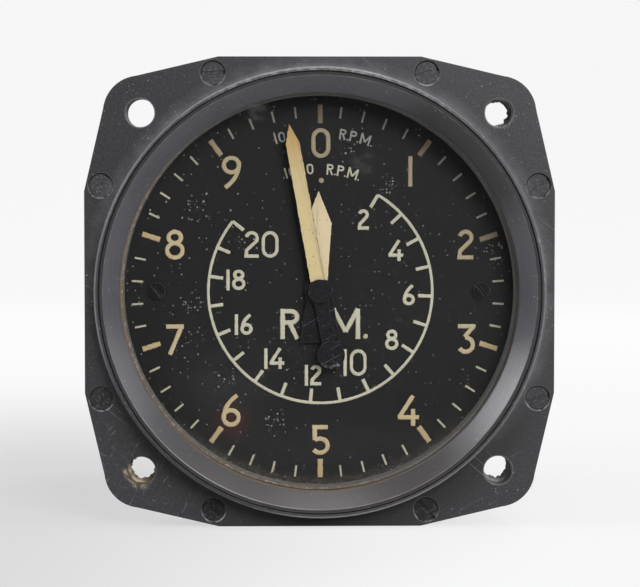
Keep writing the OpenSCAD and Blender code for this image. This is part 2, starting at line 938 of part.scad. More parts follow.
module drag_cup() {
  hub = spindle_r + cup_hub_wall;
  bore = spindle_r + fix_gap;
  color([0.75, 0.6, 0.5])
    turned([[bore, cup_y0 - cup_hub_front], [hub, cup_y0 - cup_hub_front], [hub, cup_y0],
      [cup_r, cup_y0], [cup_r, cup_y1], [cup_r - cup_wall, cup_y1],
      [cup_r - cup_wall, cup_y0 + cup_wall], [hub, cup_y0 + cup_wall],
      [hub, cup_y0 + cup_hub_rear], [bore, cup_y0 + cup_hub_rear]]);
}
module drag_spindle() {
  color([0.66, 0.67, 0.68])
    union() {
      rod(fine_pivot_r, mid_y1 - jewel_t + jewel_end, mid_y1 + spindle_step);
      rod(spindle_r, mid_y1 + spindle_step, cup_y0 + cup_hub_rear);
    }
}

// Involute teeth with a pressure angle of 20 degrees; wheel tips are short, to suit pinions of few leaves
function roll(base, r) = let (t = acos(min(1, base / r))) tan(t) * 180 / PI - t;
function flank(n, m, add, ded) = let (
    pitch = m * n / 2,
    base = pitch * cos(20),
    root = pitch - ded * m,
    low = max(base, root),
    half = 90 / n - tooth_play / 2 / pitch * 180 / PI + roll(base, pitch),
    above = [for (k = [0:3]) let (r = low + (pitch + add * m - low) * k / 3) [r, half - roll(base, r)]])
  root < base ? concat([[root, above[0][1]]], above) : above;
module teeth(n, m, add, ded, a0) {
  side = flank(n, m, add, ded);
  last = len(side) - 1;
  polygon([for (i = [0:n - 1]) for (k = [0:2 * last + 1])
    let (p = side[k <= last ? k : 2 * last + 1 - k], a = a0 + 360 * i / n + (k <= last ? -p[1] : p[1]))
      [p[0] * cos(a), p[0] * sin(a)]]);
}
module wheel(n, m, a0, bore, windows) {
  difference() {
    teeth(n, m, wheel_add, leaf_add + root_add, a0);
    circle(bore);
    if (windows)
      dots(window_angles, m * n / 2 * window_at, m * n / 2 * window_size);
  }
}
module pinion(m, a0, bore) {
  difference() {
    teeth(leaves, m, leaf_add, wheel_add + root_add, a0);
    circle(bore);
  }
}
module main_wheel() {
  bore = spindle_r + fix_gap;
  color([0.76, 0.64, 0.32])
    union() {
      slab(main_wheel_y, main_wheel_y + wheel_t)
        wheel(main_teeth, module_a, lay_angle, bore, true);
      ring(wheel_hub_r, bore, main_wheel_y - wheel_hub_step, main_wheel_y + wheel_t + wheel_hub_step);
    }
}
module lay_arbor() {
  color([0.66, 0.67, 0.68])
    polar(lay_angle, lay_at)
      union() {
        rod(pivot_r, front_y0 + pivot_end, front_y1 + pivot_step);
        rod(arbor_r, front_y1 + pivot_step, rear_y0 - pivot_step);
        rod(pivot_r, rear_y0 - pivot_step, rear_y1 - pivot_end);
      }
}
module lay_pinion() {
  color([0.6, 0.61, 0.62])
    translate([lay_at * cos(lay_angle), 0, lay_at * sin(lay_angle)])
      slab(front_y1 + lay_pinion_front, rear_y0 - lay_pinion_rear)
        pinion(module_a, lay_angle + 180 + 180 / leaves, arbor_r + fix_gap);
}
module lay_wheel() {
  bore = leaf_tip_r + fix_gap;
  hub = leaf_tip_r + pinion_hub;
  color([0.76, 0.64, 0.32])
    translate([lay_at * cos(lay_angle), 0, lay_at * sin(lay_angle)])
      union() {
        slab(lay_wheel_y, lay_wheel_y + wheel_t)
          wheel(lay_teeth, module_b, lay_angle + 180, bore, true);
        ring(hub, bore, lay_wheel_y - wheel_hub_step, lay_wheel_y + wheel_t + wheel_hub_step);
      }
}
module long_arbor() {
  color([0.66, 0.67, 0.68])
    union() {
      rod(arbor_r, long_y - weight_h, mid_y0 - pivot_step);
      rod(fine_pivot_r, mid_y0 - pivot_step, mid_y0 + jewel_t - jewel_end);
    }
}
module centre_pinion() {
  color([0.6, 0.61, 0.62])
    slab(pipe_y1 + centre_pinion_front, mid_y0 - centre_pinion_rear)
      pinion(module_b, lay_angle + 180 / leaves, arbor_r + fix_gap);
}
module pointer_pipe() {
  color([0.66, 0.67, 0.68])
    ring(pipe_r, arbor_r + drop_gap, pipe_y0, pipe_y1);
}
module pipe_wheel() {
  bore = pipe_r + fix_gap;
  color([0.76, 0.64, 0.32])
    union() {
      slab(pipe_wheel_y, pipe_wheel_y + wheel_t)
        wheel(main_teeth, module_a, lay_angle, bore, true);
      ring(pipe_r + wheel_t, bore, pipe_wheel_y - bush_front, pipe_y1);
    }
}
module long_pointer() {
  color([0.85, 0.78, 0.55])
    union() {
      slab(long_y, long_y + pointer_t)
        rotate(long_rest)
          difference() {
            union() {
              polygon([[-long_root_half, 0], [long_root_half, 0], [long_half, long_len - long_tip],
                [0, long_len], [-long_half, long_len - long_tip]]);
              circle(hub_r - hub_trim);
              translate([-long_tail_w / 2, -long_tail])
                square([long_tail_w, long_tail]);
            }
            circle(arbor_r + hub_wall);
          }
      slab(long_y - weight_h, long_y + pointer_t)
        rotate(long_rest)
          translate([0, -long_tail])
            circle(weight_r);
    }
}
module long_pointer_hub() {
  color([0.05, 0.05, 0.05])
    difference() {
      union() {
        rod(hub_r, long_y - hub_cap, long_y - fix_gap);
        rod(arbor_r + hub_wall - fix_gap, long_y - hub_bite, long_y + pointer_t + hub_bite);
        rod(arbor_r + 3 * hub_wall, long_y + pointer_t + fix_gap, long_y + pointer_t + hub_foot);
      }
      rod(arbor_r + fix_gap, long_y - weight_h - fix_gap, long_y + 2 * past);
    }
}
module short_pointer() {
  color([0.85, 0.75, 0.6])
    slab(short_y, short_y + pointer_t)
      rotate(long_rest * leaves * leaves / main_teeth / lay_teeth)
        difference() {
          union() {
            polygon([[-short_root_half, 0], [short_root_half, 0], [short_half, short_len - short_tip],
              [0, short_len], [-short_half, short_len - short_tip]]);
            circle(pipe_r + pinion_hub);
            polygon([[-short_tail_half, 0], [-short_fan_half, -short_tail],
              [short_fan_half, -short_tail], [short_tail_half, 0]]);
          }
          circle(pipe_r + hub_wall + fix_gap);
        }
}
module short_pointer_hub() {
  color([0.05, 0.05, 0.05])
    difference() {
      union() {
        rod(pipe_r + 2 * hub_wall, pipe_y0, short_y - fix_gap);
        rod(pipe_r + hub_wall, short_y - hub_bite, short_y + pointer_t + hub_bite);
        rod(pipe_r + 3 * hub_wall, short_y + pointer_t + fix_gap, short_y + pointer_t + short_hub_foot);
      }
      rod(pipe_r + fix_gap, short_y - past, short_y + 2 * past);
    }
}

bezel();
glass_ring();
front_glass_seal();
cover_glass();
rear_glass_seal();
dial_surround();
bezel_screws();
case_gasket();
captive_nuts();
case();
dial();
dial_posts();
dial_screws();
front_plate();
pipe_bush();
middle_plate();
rear_plate();
jewels();
lay_bushes();
front_pillars();
mid_pillars();
rear_pillars();
frame_bolts();
hairspring_stud();
motor_front_plate();
motor_rear_plate();
motor_shell();
stator_core();
stator_windings();
motor_bushes();
motor_bolts();
mounting_pillars();
rear_screws();
terminal_block();
terminal_studs();
terminal_nuts();
block_screws();
motor_leads();
motor_shaft();
rotor_core();
rotor_magnet();
drag_magnet();
flux_drum();
drag_cup();
drag_spindle();
main_wheel();
hairspring_collet();
hairspring();
lay_arbor();
lay_pinion();
lay_wheel();
long_arbor();
centre_pinion();
long_pointer();
long_pointer_hub();
pointer_pipe();
pipe_wheel();
short_pointer();
short_pointer_hub();
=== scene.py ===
# %% [markdown]
# A panel tachometer is a sealed tin with a window: a square flange for four panel screws, a round lip, a
# conical ring that holds the glass, and a black dial with two geared pointers.
# The construction is already there as a packed model, so this lesson only dresses it: it softens the edges
# that a real casting would have, prints the dial, paints the pointers, and gives each surface its finish.

# %% Load the packed model
import itertools
import json
import math
import random

import bmesh
import bpy
from mathutils import Matrix, Vector


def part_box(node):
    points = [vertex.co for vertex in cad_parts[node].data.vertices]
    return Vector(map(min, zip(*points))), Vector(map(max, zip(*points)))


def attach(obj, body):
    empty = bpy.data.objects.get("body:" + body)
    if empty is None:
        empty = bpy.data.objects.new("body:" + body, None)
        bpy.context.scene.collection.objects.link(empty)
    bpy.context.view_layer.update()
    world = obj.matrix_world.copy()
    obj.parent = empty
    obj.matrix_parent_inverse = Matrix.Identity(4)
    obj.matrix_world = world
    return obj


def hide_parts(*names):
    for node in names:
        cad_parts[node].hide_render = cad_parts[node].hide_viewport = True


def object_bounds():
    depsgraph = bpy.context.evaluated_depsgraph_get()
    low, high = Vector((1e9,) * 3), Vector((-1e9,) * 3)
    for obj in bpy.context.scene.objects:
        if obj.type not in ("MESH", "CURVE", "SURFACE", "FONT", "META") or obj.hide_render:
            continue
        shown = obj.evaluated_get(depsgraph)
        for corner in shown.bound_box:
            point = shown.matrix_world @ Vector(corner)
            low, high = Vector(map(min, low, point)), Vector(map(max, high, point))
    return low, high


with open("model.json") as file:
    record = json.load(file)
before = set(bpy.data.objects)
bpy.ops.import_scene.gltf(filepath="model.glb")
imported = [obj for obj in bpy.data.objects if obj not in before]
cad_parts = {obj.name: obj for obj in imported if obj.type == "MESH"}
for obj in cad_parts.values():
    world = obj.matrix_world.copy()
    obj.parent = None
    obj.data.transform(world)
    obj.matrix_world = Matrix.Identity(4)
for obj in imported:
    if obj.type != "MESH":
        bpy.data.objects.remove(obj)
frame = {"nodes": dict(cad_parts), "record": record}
cad_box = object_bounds()
MM = 0.001
print("CAD box in mm:", [[round(c / MM, 2) for c in corner] for corner in cad_box])

# %% [markdown]
# The camera stands nearly square to the dial, a little above it and a little to the left, about as far away
# as a hand's reach. A long lens keeps the flange's edges almost parallel. The angle and the distance are set
# first, because every later comparison depends on them.

# %% Camera
CAMERA_AZIMUTH = -1.2
CAMERA_ELEVATION = 2.8
CAMERA_DISTANCE = 420 * MM
AIM = Vector((0.0, 0.0, -0.2 * MM))


def added(name, data):
    """A new object in the scene."""
    made = bpy.data.objects.new(name, data)
    bpy.context.scene.collection.objects.link(made)
    return made


def facing(name, data, azimuth, elevation, distance, aim=Vector()):
    """A camera or a lamp that looks at a place; azimuth 0 is in front of the dial, positive to its right."""
    across, up = math.radians(azimuth), math.radians(elevation)
    way = Vector((math.sin(across) * math.cos(up), -math.cos(across) * math.cos(up), math.sin(up)))
    holder = added(name, data)
    holder.location = aim + way * distance
    holder.rotation_euler = (-way).to_track_quat("-Z", "Y").to_euler()
    return holder


camera_data = bpy.data.cameras.new("camera")
camera_data.lens = 134.6
camera_data.sensor_width = 36.0
camera_data.clip_start = 0.01
camera = facing("camera", camera_data, CAMERA_AZIMUTH, CAMERA_ELEVATION, CAMERA_DISTANCE, AIM)
bpy.context.scene.camera = camera
bpy.context.scene.view_settings.view_transform = "Standard"
print("camera at", [round(c, 3) for c in camera.location])

# %% [markdown]
# A finish is a small network of shader nodes. Written node by node it is long and hard to read, so a socket
# is wrapped in a class that knows sums: `1 - mask * 0.5` then makes the Math nodes by itself. The operators
# differ only in the Math node's operation, so a loop gives them to the class. Every other node comes from one
# method that takes its type, its sockets and its settings.


# %% Sums with sockets
class Wire:
    """A shader socket that takes part in Python sums."""

    def __init__(self, network, socket):
        self.network = network
        self.socket = socket

    def between(self, low, high):
        """0 below low, 1 above high, and a smooth rise from one to the other."""
        sockets = {"Value": self, "From Min": low, "From Max": high}
        return self.network.node("MapRange", sockets, interpolation_type="SMOOTHSTEP")["Result"]

    def around(self, middle, swing):
        """A mask that averages a half, brought to another middle and swing."""
        return middle + (self - 0.5) * swing


def operator(operation, reflected=False):
    """A method that adds a Math node; reflected is for a number on the left, as in 1 - mask."""
    def method(wire, other=0.0):
        first, second = (other, wire) if reflected else (wire, other)
        return wire.network.node("Math", {0: first, 1: second}, operation=operation)["Value"]
    return method


OPERATORS = {
    "add": "ADD", "sub": "SUBTRACT", "mul": "MULTIPLY", "truediv": "DIVIDE", "pow": "POWER",
    "abs": "ABSOLUTE", "lt": "LESS_THAN",
}
for sign, operation in OPERATORS.items():
    setattr(Wire, f"__{sign}__", operator(operation))
for sign in ("add", "sub", "mul"):
    setattr(Wire, f"__r{sign}__", operator(OPERATORS[sign], reflected=True))
print("sums with sockets:", ", ".join(OPERATORS))


# %% A network and its node method
class Network:
    """The nodes of a material or a world, all made by one method."""

    def __init__(self, name, kind="materials"):
        self.data = getattr(bpy.data, kind).new(name)
        self.data.use_nodes = True
        self.tree = self.data.node_tree
        self.tree.nodes.clear()

    def __repr__(self):
        return f"{self.data.name} with {len(self.tree.nodes)} nodes"

    def node(self, kind, sockets=None, **settings):
        """A new shader node, with values or wires for its sockets; gives back its outputs."""
        made = self.tree.nodes.new("ShaderNode" + kind)
        for key, value in settings.items():
            setattr(made, key, value)
        inputs = self.by_key(made.inputs)
        for key, value in (sockets or {}).items():
            self.fill(inputs[key], value)
        return {key: Wire(self, socket) for key, socket in self.by_key(made.outputs).items()}

    @staticmethod
    def by_key(sockets):
        """Sockets by number, by identifier and by name, where the first of a name counts."""
        found = {}
        for number, socket in enumerate(sockets):
            found[number] = found[socket.identifier] = socket
            found.setdefault(socket.name, socket)
        return found

    def fill(self, socket, value):
        if isinstance(value, Wire):
            self.tree.links.new(value.socket, socket)
        elif socket.type == "RGBA" and len(value) == 3:
            socket.default_value = (*value, 1.0)
        else:
            socket.default_value = value

    def blend(self, share, first, second):
        """A mix of two shaders."""
        return self.node("MixShader", {0: share, 1: first, 2: second})["Shader"]

    def show(self, shader, output="OutputMaterial"):
        self.node(output, {"Surface": shader})


print("a network can", ", ".join(name for name in vars(Network) if not name.startswith("_")))

# %% [markdown]
# A used surface looks different from place to place: dust lies on top, damp comes in at one corner, hands rub
# the edges. So a finish starts from the place on the object, and most of its methods give a mask, which says
# with 0 to 1 how much of something is there.


# %% Masks and colours
class Finish(Network):
    """A material whose masks and colours follow the place on the object."""

    def __init__(self, name):
        super().__init__(name)
        self.place = self.node("TexCoord")["Object"]
        axes = self.node("SeparateXYZ", {"Vector": self.place})
        self.x, self.y, self.z = axes["X"], axes["Y"], axes["Z"]

    def mapped(self, length=(1, 1, 1), turn=0.0, offset=(0, 0, 0)):
        """The place, turned about the dial's axis and measured in lengths of its own along each way."""
        sockets = {"Vector": self.place, "Scale": length, "Rotation": (0, turn, 0), "Location": offset}
        return self.node("Mapping", sockets, vector_type="TEXTURE")["Vector"]

    def noise(self, scale, detail=3.0, length=(1, 1, 1), turn=0.0, offset=(0, 0, 0)):
        """Smooth random values around 0.5; scale counts the blotches in a metre."""
        place = self.mapped(length, turn, offset)
        sockets = {"Vector": place, "Scale": scale, "Detail": detail, "Roughness": 0.6}
        return self.node("TexNoise", sockets)["Fac"]

    def specks(self, scale, radius, share, offset=(0, 0, 0), flat=False):
        """A mask of scattered grains: radius is in cells, and share is how many cells hold one.

        On a face square to the dial's axis, flat cells lay all their grains in that face.
        """
        if flat:
            on_face = {"X": self.x + offset[0], "Y": self.z + offset[2]}
            sockets = {"Vector": self.node("CombineXYZ", on_face)["Vector"], "Scale": scale}
        else:
            sockets = {"Vector": self.mapped(offset=offset), "Scale": scale}
        cells = self.node("TexVoronoi", sockets, voronoi_dimensions="2D" if flat else "3D")
        chance = self.node("SeparateColor", {"Color": cells["Color"]})
        reach = chance["Red"] * chance["Red"] * radius
        return (cells["Distance"] < reach) * (chance["Green"] < share)

    def scuffs(self, turn, offset=(0, 0, 0)):
        """A mask of fine hair scratches, in one direction and in a few patches."""
        hairs = self.noise(1.0, 2.0, (18 * MM, 2 * MM, 0.35 * MM), turn, offset).between(0.64, 0.70)
        return hairs * self.noise(60.0, 2.0, offset=offset).between(0.50, 0.60)

    def turned(self, scale):
        """Rings round the dial's axis, as a lathe leaves them; scale counts them in a metre."""
        sockets = {"W": self.from_axis() * scale, "Scale": 1.0, "Detail": 3.0}
        return self.node("TexNoise", sockets, noise_dimensions="1D")["Fac"]

    def wisps(self, turn, offset):
        """A mask of short broken smears in one direction."""
        return self.noise(1.0, 4.0, (3.2 * MM, 3 * MM, 0.55 * MM), turn, offset).between(0.62, 0.74)

    def from_axis(self):
        """Distance from the dial's axis, in metres."""
        return (self.x * self.x + self.z * self.z) ** 0.5

    def towards(self, across, up):
        """How far a place lies in one direction on the dial, in metres."""
        return self.x * across + self.z * up

    def near(self, x, z, radius):
        """1 at a place on the dial, falling to 0 at the radius; all in millimetres."""
        across = self.x - x * MM
        up = self.z - z * MM
        return 1 - ((across * across + up * up) ** 0.5).between(0.0, radius * MM)

    def mix(self, factor, first, second):
        sockets = {"Factor_Float": factor, "A_Color": first, "B_Color": second}
        return self.node("Mix", sockets, data_type="RGBA")["Result_Color"]

    def layered(self, colour, *layers):
        """Colours laid one over another; each layer is a mask and a colour."""
        for mask, above in layers:
            colour = self.mix(mask, colour, above)
        return colour

    def attribute(self, name):
        return self.node("Attribute", attribute_name=name)["Fac"]

    def bump(self, height, strength, distance=0.05 * MM):
        sockets = {"Height": height, "Strength": strength, "Distance": distance}
        return self.node("Bump", sockets)["Normal"]

    def surface(self, colour, roughness, normal=None, **others):
        """The last step, one Principled shader. Extra sockets go by name, with _ for a space."""
        sockets = {"Base Color": colour, "Roughness": roughness}
        sockets.update({key.replace("_", " "): value for key, value in others.items()})
        if normal is not None:
            sockets["Normal"] = normal
        self.show(self.node("BsdfPrincipled", sockets)["BSDF"])
        return self


print("a finish can", ", ".join(name for name in vars(Finish) if not name.startswith("_")))

# %% [markdown]
# The stage is a pale sweep: a floor that curves up into a wall, so that no horizon line shows. It is made
# from one edge that is drawn out, spun through a quarter turn and drawn up. To the camera, and in
# reflections, part of its light is its own, which keeps it white without more light on the object. In front
# of the object it is dull to all other light, as a dark room would be.


# %% The sweep's finish
def sweep_finish():
    finish = Finish("pale_sweep")
    blotches = finish.noise(3.0)
    front = 1 - finish.y.between(-0.2, -0.12)
    pale = finish.mix(blotches, (0.80, 0.80, 0.81), (0.86, 0.86, 0.86))
    tone = finish.mix(front, pale, (0.08, 0.08, 0.08))
    matt = finish.node("BsdfDiffuse", {"Color": tone})["BSDF"]
    # Near the object's lower left the floor's own light is dimmer: a painted shade on the floor.
    beside = finish.x.between(-0.3, -0.12) * (1 - finish.x.between(-0.06, 0.03))
    painted_shade_lower_left = beside * (1 - finish.y.between(0.05, 0.3))
    back = finish.y.between(0.05, 0.6)
    wall = finish.mix(back, (0.93, 0.93, 0.935), (1.0, 1.0, 1.0))
    shaded = finish.mix(painted_shade_lower_left, wall, (0.67, 0.67, 0.68))
    own_light = finish.node("Emission", {"Color": shaded, "Strength": 1.0})["Emission"]
    path = finish.node("LightPath")
    mirrored = path["Is Glossy Ray"] + path["Is Transmission Ray"]
    seen = path["Is Camera Ray"] * (0.80 + back * 0.08 + front * 0.20) + mirrored * (0.30 - front * 0.14)
    finish.show(finish.blend(seen, matt, own_light))
    return finish


pale_sweep = sweep_finish()
print(pale_sweep)


# %% Floor and sweep
def as_piece(name, bm, finish, smooth=True):
    """Ends a bmesh as an object at the origin with one finish."""
    mesh = bpy.data.meshes.new(name)
    bm.to_mesh(mesh)
    bm.free()
    mesh.materials.append(finish.data)
    if smooth:
        mesh.shade_smooth()
    return added(name, mesh)


def only(kind, geom):
    """The vertices or the edges among what an operator gives back."""
    return [part for part in geom if isinstance(part, kind)]


floor_z = cad_box[0].z
FLOOR_SIDE = 4.0
FLOOR_FRONT = -1.2
FLOOR_BACK = 0.8
BEND = 0.5
WALL_HEIGHT = 1.2
BMVert, BMEdge = bmesh.types.BMVert, bmesh.types.BMEdge
bm = bmesh.new()
front_edge = bm.edges.new([bm.verts.new((x, FLOOR_FRONT, floor_z)) for x in (-FLOOR_SIDE, FLOOR_SIDE)])
drawn = bmesh.ops.extrude_edge_only(bm, edges=[front_edge])["geom"]
back_verts = only(BMVert, drawn)
bmesh.ops.translate(bm, verts=back_verts, vec=(0, FLOOR_BACK - FLOOR_FRONT, 0))
back_edge = [edge for edge in only(BMEdge, drawn) if set(edge.verts) == set(back_verts)]
bent = bmesh.ops.spin(
    bm, geom=back_edge, cent=(0, FLOOR_BACK, floor_z + BEND), axis=(1, 0, 0), angle=math.pi / 2, steps=24,
)["geom_last"]
raised = bmesh.ops.extrude_edge_only(bm, edges=only(BMEdge, bent))["geom"]
bmesh.ops.translate(bm, verts=only(BMVert, raised), vec=(0, 0, WALL_HEIGHT))
bmesh.ops.recalc_face_normals(bm, faces=bm.faces)
sweep = as_piece("sweep", bm, pale_sweep)
print("sweep with", len(sweep.data.polygons), "faces")

# %% [markdown]
# Black paint shows almost nothing but what it reflects, so the lamps are soft boxes. The strongest stands
# above the camera and a little to the right, where the flat flange can't mirror it. One far out on each side
# draws the lip and the cone, two weak ones hang overhead, and two behind show the rear. The room itself is
# nearly dark.

# %% Lamps and room
LAMP_DISTANCE = 0.85
LAMP_SIZE = 0.4
ROOM_LIGHT = 0.08
ROOM_MIRRORED = 0.1
# Azimuth and elevation in degrees, and power in watts.
SOFTBOXES = {
    "key": (20, 25, 5.7),
    "left": (-80, 28, 3.4),
    "right": (80, 20, 1.5),
    "high_right": (60, 55, 0.5),
    "overhead": (0, 80, 1.1),
    "rear_right": (150, 40, 2.5),
    "rear_left": (-140, 35, 1.5),
}
for side, (azimuth, elevation, watts) in SOFTBOXES.items():
    lamp = bpy.data.lights.new(side + "_softbox", "AREA")
    lamp.shape = "SQUARE"
    lamp.size = LAMP_SIZE
    lamp.energy = watts
    facing(lamp.name, lamp, azimuth, elevation, LAMP_DISTANCE)
room = Network("room", "worlds")
dim_light = {"Color": (1.0, 1.0, 1.0), "Strength": ROOM_LIGHT}
dim_room = room.node("Background", dim_light)["Background"]
seen_room = room.node("Background", {"Color": (0.92, 0.92, 0.925)})["Background"]
rays = room.node("LightPath")
mirrored = (rays["Is Glossy Ray"] + rays["Is Transmission Ray"]) * ROOM_MIRRORED
room.show(room.blend(mirrored + rays["Is Camera Ray"], dim_room, seen_room), "OutputWorld")
bpy.context.scene.world = room.data

# %% [markdown]
# The flange, the lip and the case are castings with a stoved satin black paint. In use the paint has gathered
# pale dust, fine scratches and rubbed edges that show the grey metal. Each is a layer, a mask with a colour,
# over the one before. The rubbed edges follow an attribute that is written where edges are rounded, so they
# sit exactly on the corners. On the lip the rubbed grey is partly a painted highlight, and the flange just
# below the lip is darkened as a painted shadow of the lip.

# %% Tones and places of the black paint
DUST = (0.55, 0.555, 0.585)
# Grey of rubbed paint, which also paints highlights on the lip.
WEAR_AND_SHEEN_GREY = (0.20, 0.20, 0.205)
BARE_METAL = (0.36, 0.36, 0.36)
LIP_FOOT = 39.5 * MM
HOLE_AT = 62.865 / 2 * MM
HOLE_RADIUS = 2.5 * MM
HOLE_ROUND = 0.42 * MM
COOLNESS = 1.22


def cool(tone):
    """A grey with a touch of blue."""
    return (tone, tone, tone * COOLNESS)


def outside_lip(finish):
    """1 on the flange, 0 on the lip and within it."""
    return finish.from_axis().between(LIP_FOOT - 0.2 * MM, LIP_FOOT)


def beside_lip(finish, width, start=0.0):
    """1 on the flange at the foot of the lip, falling to 0 at a width from it."""
    return outside_lip(finish) * (1 - finish.from_axis().between(LIP_FOOT + start, LIP_FOOT + width))


print("holes", HOLE_AT / MM, "mm from the middle, the lip's foot at", LIP_FOOT / MM, "mm")


# %% Bare metal in the corner holes
def bare_holes(finish, colour):
    """Lays bare metal, rusty at the lower left, on the walls of the four corner holes."""
    across, up = abs(finish.x) - HOLE_AT, abs(finish.z) - HOLE_AT
    from_hole = (across * across + up * up) ** 0.5 - HOLE_RADIUS
    wall = (1 - from_hole.between(0.35 * MM, 0.45 * MM)) * finish.y.between(0.02 * MM, 0.25 * MM)
    flakes = finish.noise(900.0, 5.0)
    rust = finish.mix(flakes.between(0.40, 0.62), (0.09, 0.065, 0.04), (0.46, 0.37, 0.26))
    rusty = finish.towards(-1, -1).between(20 * MM, 45 * MM)
    beyond = finish.towards(-1, -1).between(2 * HOLE_AT + 0.5 * MM, 2 * HOLE_AT + 3 * MM)
    stain = beyond * (1 - from_hole.between(0.4 * MM, 0.9 * MM)) * flakes.between(0.40, 0.58) * 0.5
    stained = finish.mix(stain, colour, rust)
    metal_tone = finish.mix(rusty, (0.13, 0.13, 0.135), rust)
    return finish.mix(wall * (0.5 + flakes.between(0.3, 0.6) * 0.5), stained, metal_tone)


print("bare walls in holes of", 2 * HOLE_RADIUS / MM, "mm")


# %% Dust on the black paint
SMEAR_TURNS = (0.6, -0.9, 2.0)


def loose_dust(finish, dust, grit, film, crust):
    """Dust in grains, in drifts at the foot and along the top of the lip, in smears and as a film.

    The narrow pale line by the lip's foot is partly dust, partly painted light over the lip's shade.
    """
    settled = finish.noise(120.0, 3.0).between(0.40, 0.65)
    fine = finish.specks(3000.0, 0.30, dust * 0.6) * (0.10 + settled * 0.25)
    coarse = finish.specks(1200.0, 0.12, dust * 0.16, offset=(0.3, 0.1, 0.2)) * 0.5
    outside = outside_lip(finish)
    upper = finish.towards(0.5, 1).between(-45 * MM, 5 * MM)
    foot = beside_lip(finish, 3 * MM) * (finish.noise(260.0, 5.0).between(0.3, 0.7) * 0.09 + 0.03)
    # Beside the lip's foot: dust, and a narrow line that is partly painted light lifting the lip's shade.
    foot_dust_and_painted_light = upper * (foot + beside_lip(finish, 0.9 * MM, 0.2 * MM) * 0.07)
    crown = (1 - outside) * finish.z.between(26 * MM, 38 * MM)
    settling = crown * (finish.noise(1400.0, 4.0).between(0.45, 0.60) * 0.20 + 0.03)
    wisps = sum(finish.wisps(turn, (turn, 0.1, 0.2)) for turn in SMEAR_TURNS)
    smears = wisps * finish.near(-31, -32, 15).between(0.0, 0.45) * outside * 0.20
    films = foot_dust_and_painted_light + settling + smears + upper * film
    return (fine + coarse) * grit + films + (crust(finish) if crust else 0.0)


print("smears of dust in", len(SMEAR_TURNS), "directions")


# %% Black paint
def black_paint(name, tone=0.010, gloss=0.42, dust=0.25, wear=0.7, shine=0.5, grit=1.0, film=0.0, crust=None):
    """film is the share of an even coat of dust on the upper right side; crust makes a mask of more dust."""
    finish = Finish(name)
    grain = finish.noise(2600.0, 3.0)
    clouds = finish.noise(45.0, 4.0)
    # Painted shadow: the flange just below the lip is darkened, with less dust, where the lip shades it.
    painted_lip_shadow = beside_lip(finish, 10 * MM) * (1 - finish.z.between(-31 * MM, -9 * MM))
    dusting = loose_dust(finish, dust, grit, film, crust) * (1 - painted_lip_shadow * 0.7)
    scratched = (finish.scuffs(0.7) + finish.scuffs(-0.5, (0.4, 0.2, 0.3))) * 0.35
    # Rubbed grey on edges is wear, and on the lip also a painted highlight, stronger at its top and bottom;
    # all of it is painted fainter towards the lower left, as painted shade.
    painted_shade_on_rubs = 1 - finish.near(-26, -30, 30).between(0.0, 0.5) * 0.85
    painted_lip_highlight = (1 - outside_lip(finish)) * abs(finish.z).between(24 * MM, 38 * MM)
    edge = finish.attribute("worn") * painted_shade_on_rubs * (1 + painted_lip_highlight * 0.8)
    bare = edge * finish.noise(500.0, 5.0).between(0.60, 0.66) * wear * 0.7
    worn = finish.layered(
        cool(tone * 0.75),
        (clouds, cool(tone * 1.3)),
        (grain.between(0.35, 0.7) * 0.8, cool(tone * 3.4)),
        (painted_lip_shadow, cool(tone * 0.2)),
        (edge * 0.7 * wear, WEAR_AND_SHEEN_GREY),
        (scratched, WEAR_AND_SHEEN_GREY),
        (dusting, DUST),
        (bare, BARE_METAL),
    )
    roughness = clouds.around(gloss, 0.2) + dusting * 0.3 + painted_lip_shadow * 0.3
    normal = finish.bump(grain, 0.35, 0.03 * MM)
    colour = bare_holes(finish, worn)
    return finish.surface(colour, roughness, normal, Metallic=bare * 0.6, Specular_IOR_Level=shine)


finishes = {"black_paint": black_paint("black_paint")}
print(finishes)

# %% [markdown]
# Inside the lip, a turned ring slopes down to the glass. It has its own satin coat, and behind the glass
# stand a grey painted ring and a line of old rubber. Damp came in from the lower left, so dust and rust
# gather there.

# %% Conical ring
RING_LAND = 38.0 * MM
SATIN_TONE = 0.045


def satin_ring(name):
    """Fine turning lines under a thin satin coat.

    The flat rim is painted near black, and the upper right darker, as painted shade.
    """
    finish = Finish(name)
    clouds = finish.noise(70.0, 4.0)
    lines = finish.turned(9000.0)
    streaks = finish.turned(1700.0).between(0.45, 0.65) * finish.noise(110.0, 4.0).between(0.35, 0.65)
    grain = finish.noise(3200.0, 2.0)
    spots = finish.specks(1900.0, 0.26, 0.25)
    # Painted shade: the upper right of the cone, which faces down and to the left, is painted darker.
    painted_shade_upper_right = finish.near(26, 25, 20).between(0.0, 0.6)
    low = 1 - finish.z.between(-35 * MM, -15 * MM)
    # The ring's rubbed edges grow brighter towards the bottom: partly wear, partly a painted highlight.
    ring_rub_and_sheen = finish.attribute("worn") * (finish.noise(500.0, 4.0).between(0.45, 0.62) * 0.15 + low * 0.3)
    # Painted shade: the flat rim in the groove beside the lip is painted near black.
    rim = finish.from_axis().between(RING_LAND - 0.1 * MM, RING_LAND)
    colour = finish.layered(
        cool(SATIN_TONE * 0.75),
        (clouds, cool(SATIN_TONE * 1.3)),
        (streaks * 0.4, cool(0.016)),
        (painted_shade_upper_right * 0.85, cool(0.006)),
        (grain.between(0.4, 0.7) * 0.35 * (1 - painted_shade_upper_right * 0.9), cool(0.09)),
        (spots * 0.35, DUST),
        (low * 0.6, (0.062, 0.054, 0.048)),
        (ring_rub_and_sheen, finish.mix(low * 0.8, BARE_METAL, (0.27, 0.22, 0.17))),
        (rim * (1 - ring_rub_and_sheen), (0.006, 0.006, 0.0065)),
    )
    normal = finish.bump(lines * 0.6 + grain, 0.2, 0.03 * MM)
    roughness = clouds.around(0.33, 0.16) + rim * 0.5
    return finish.surface(colour, roughness, normal, Specular_IOR_Level=0.9)


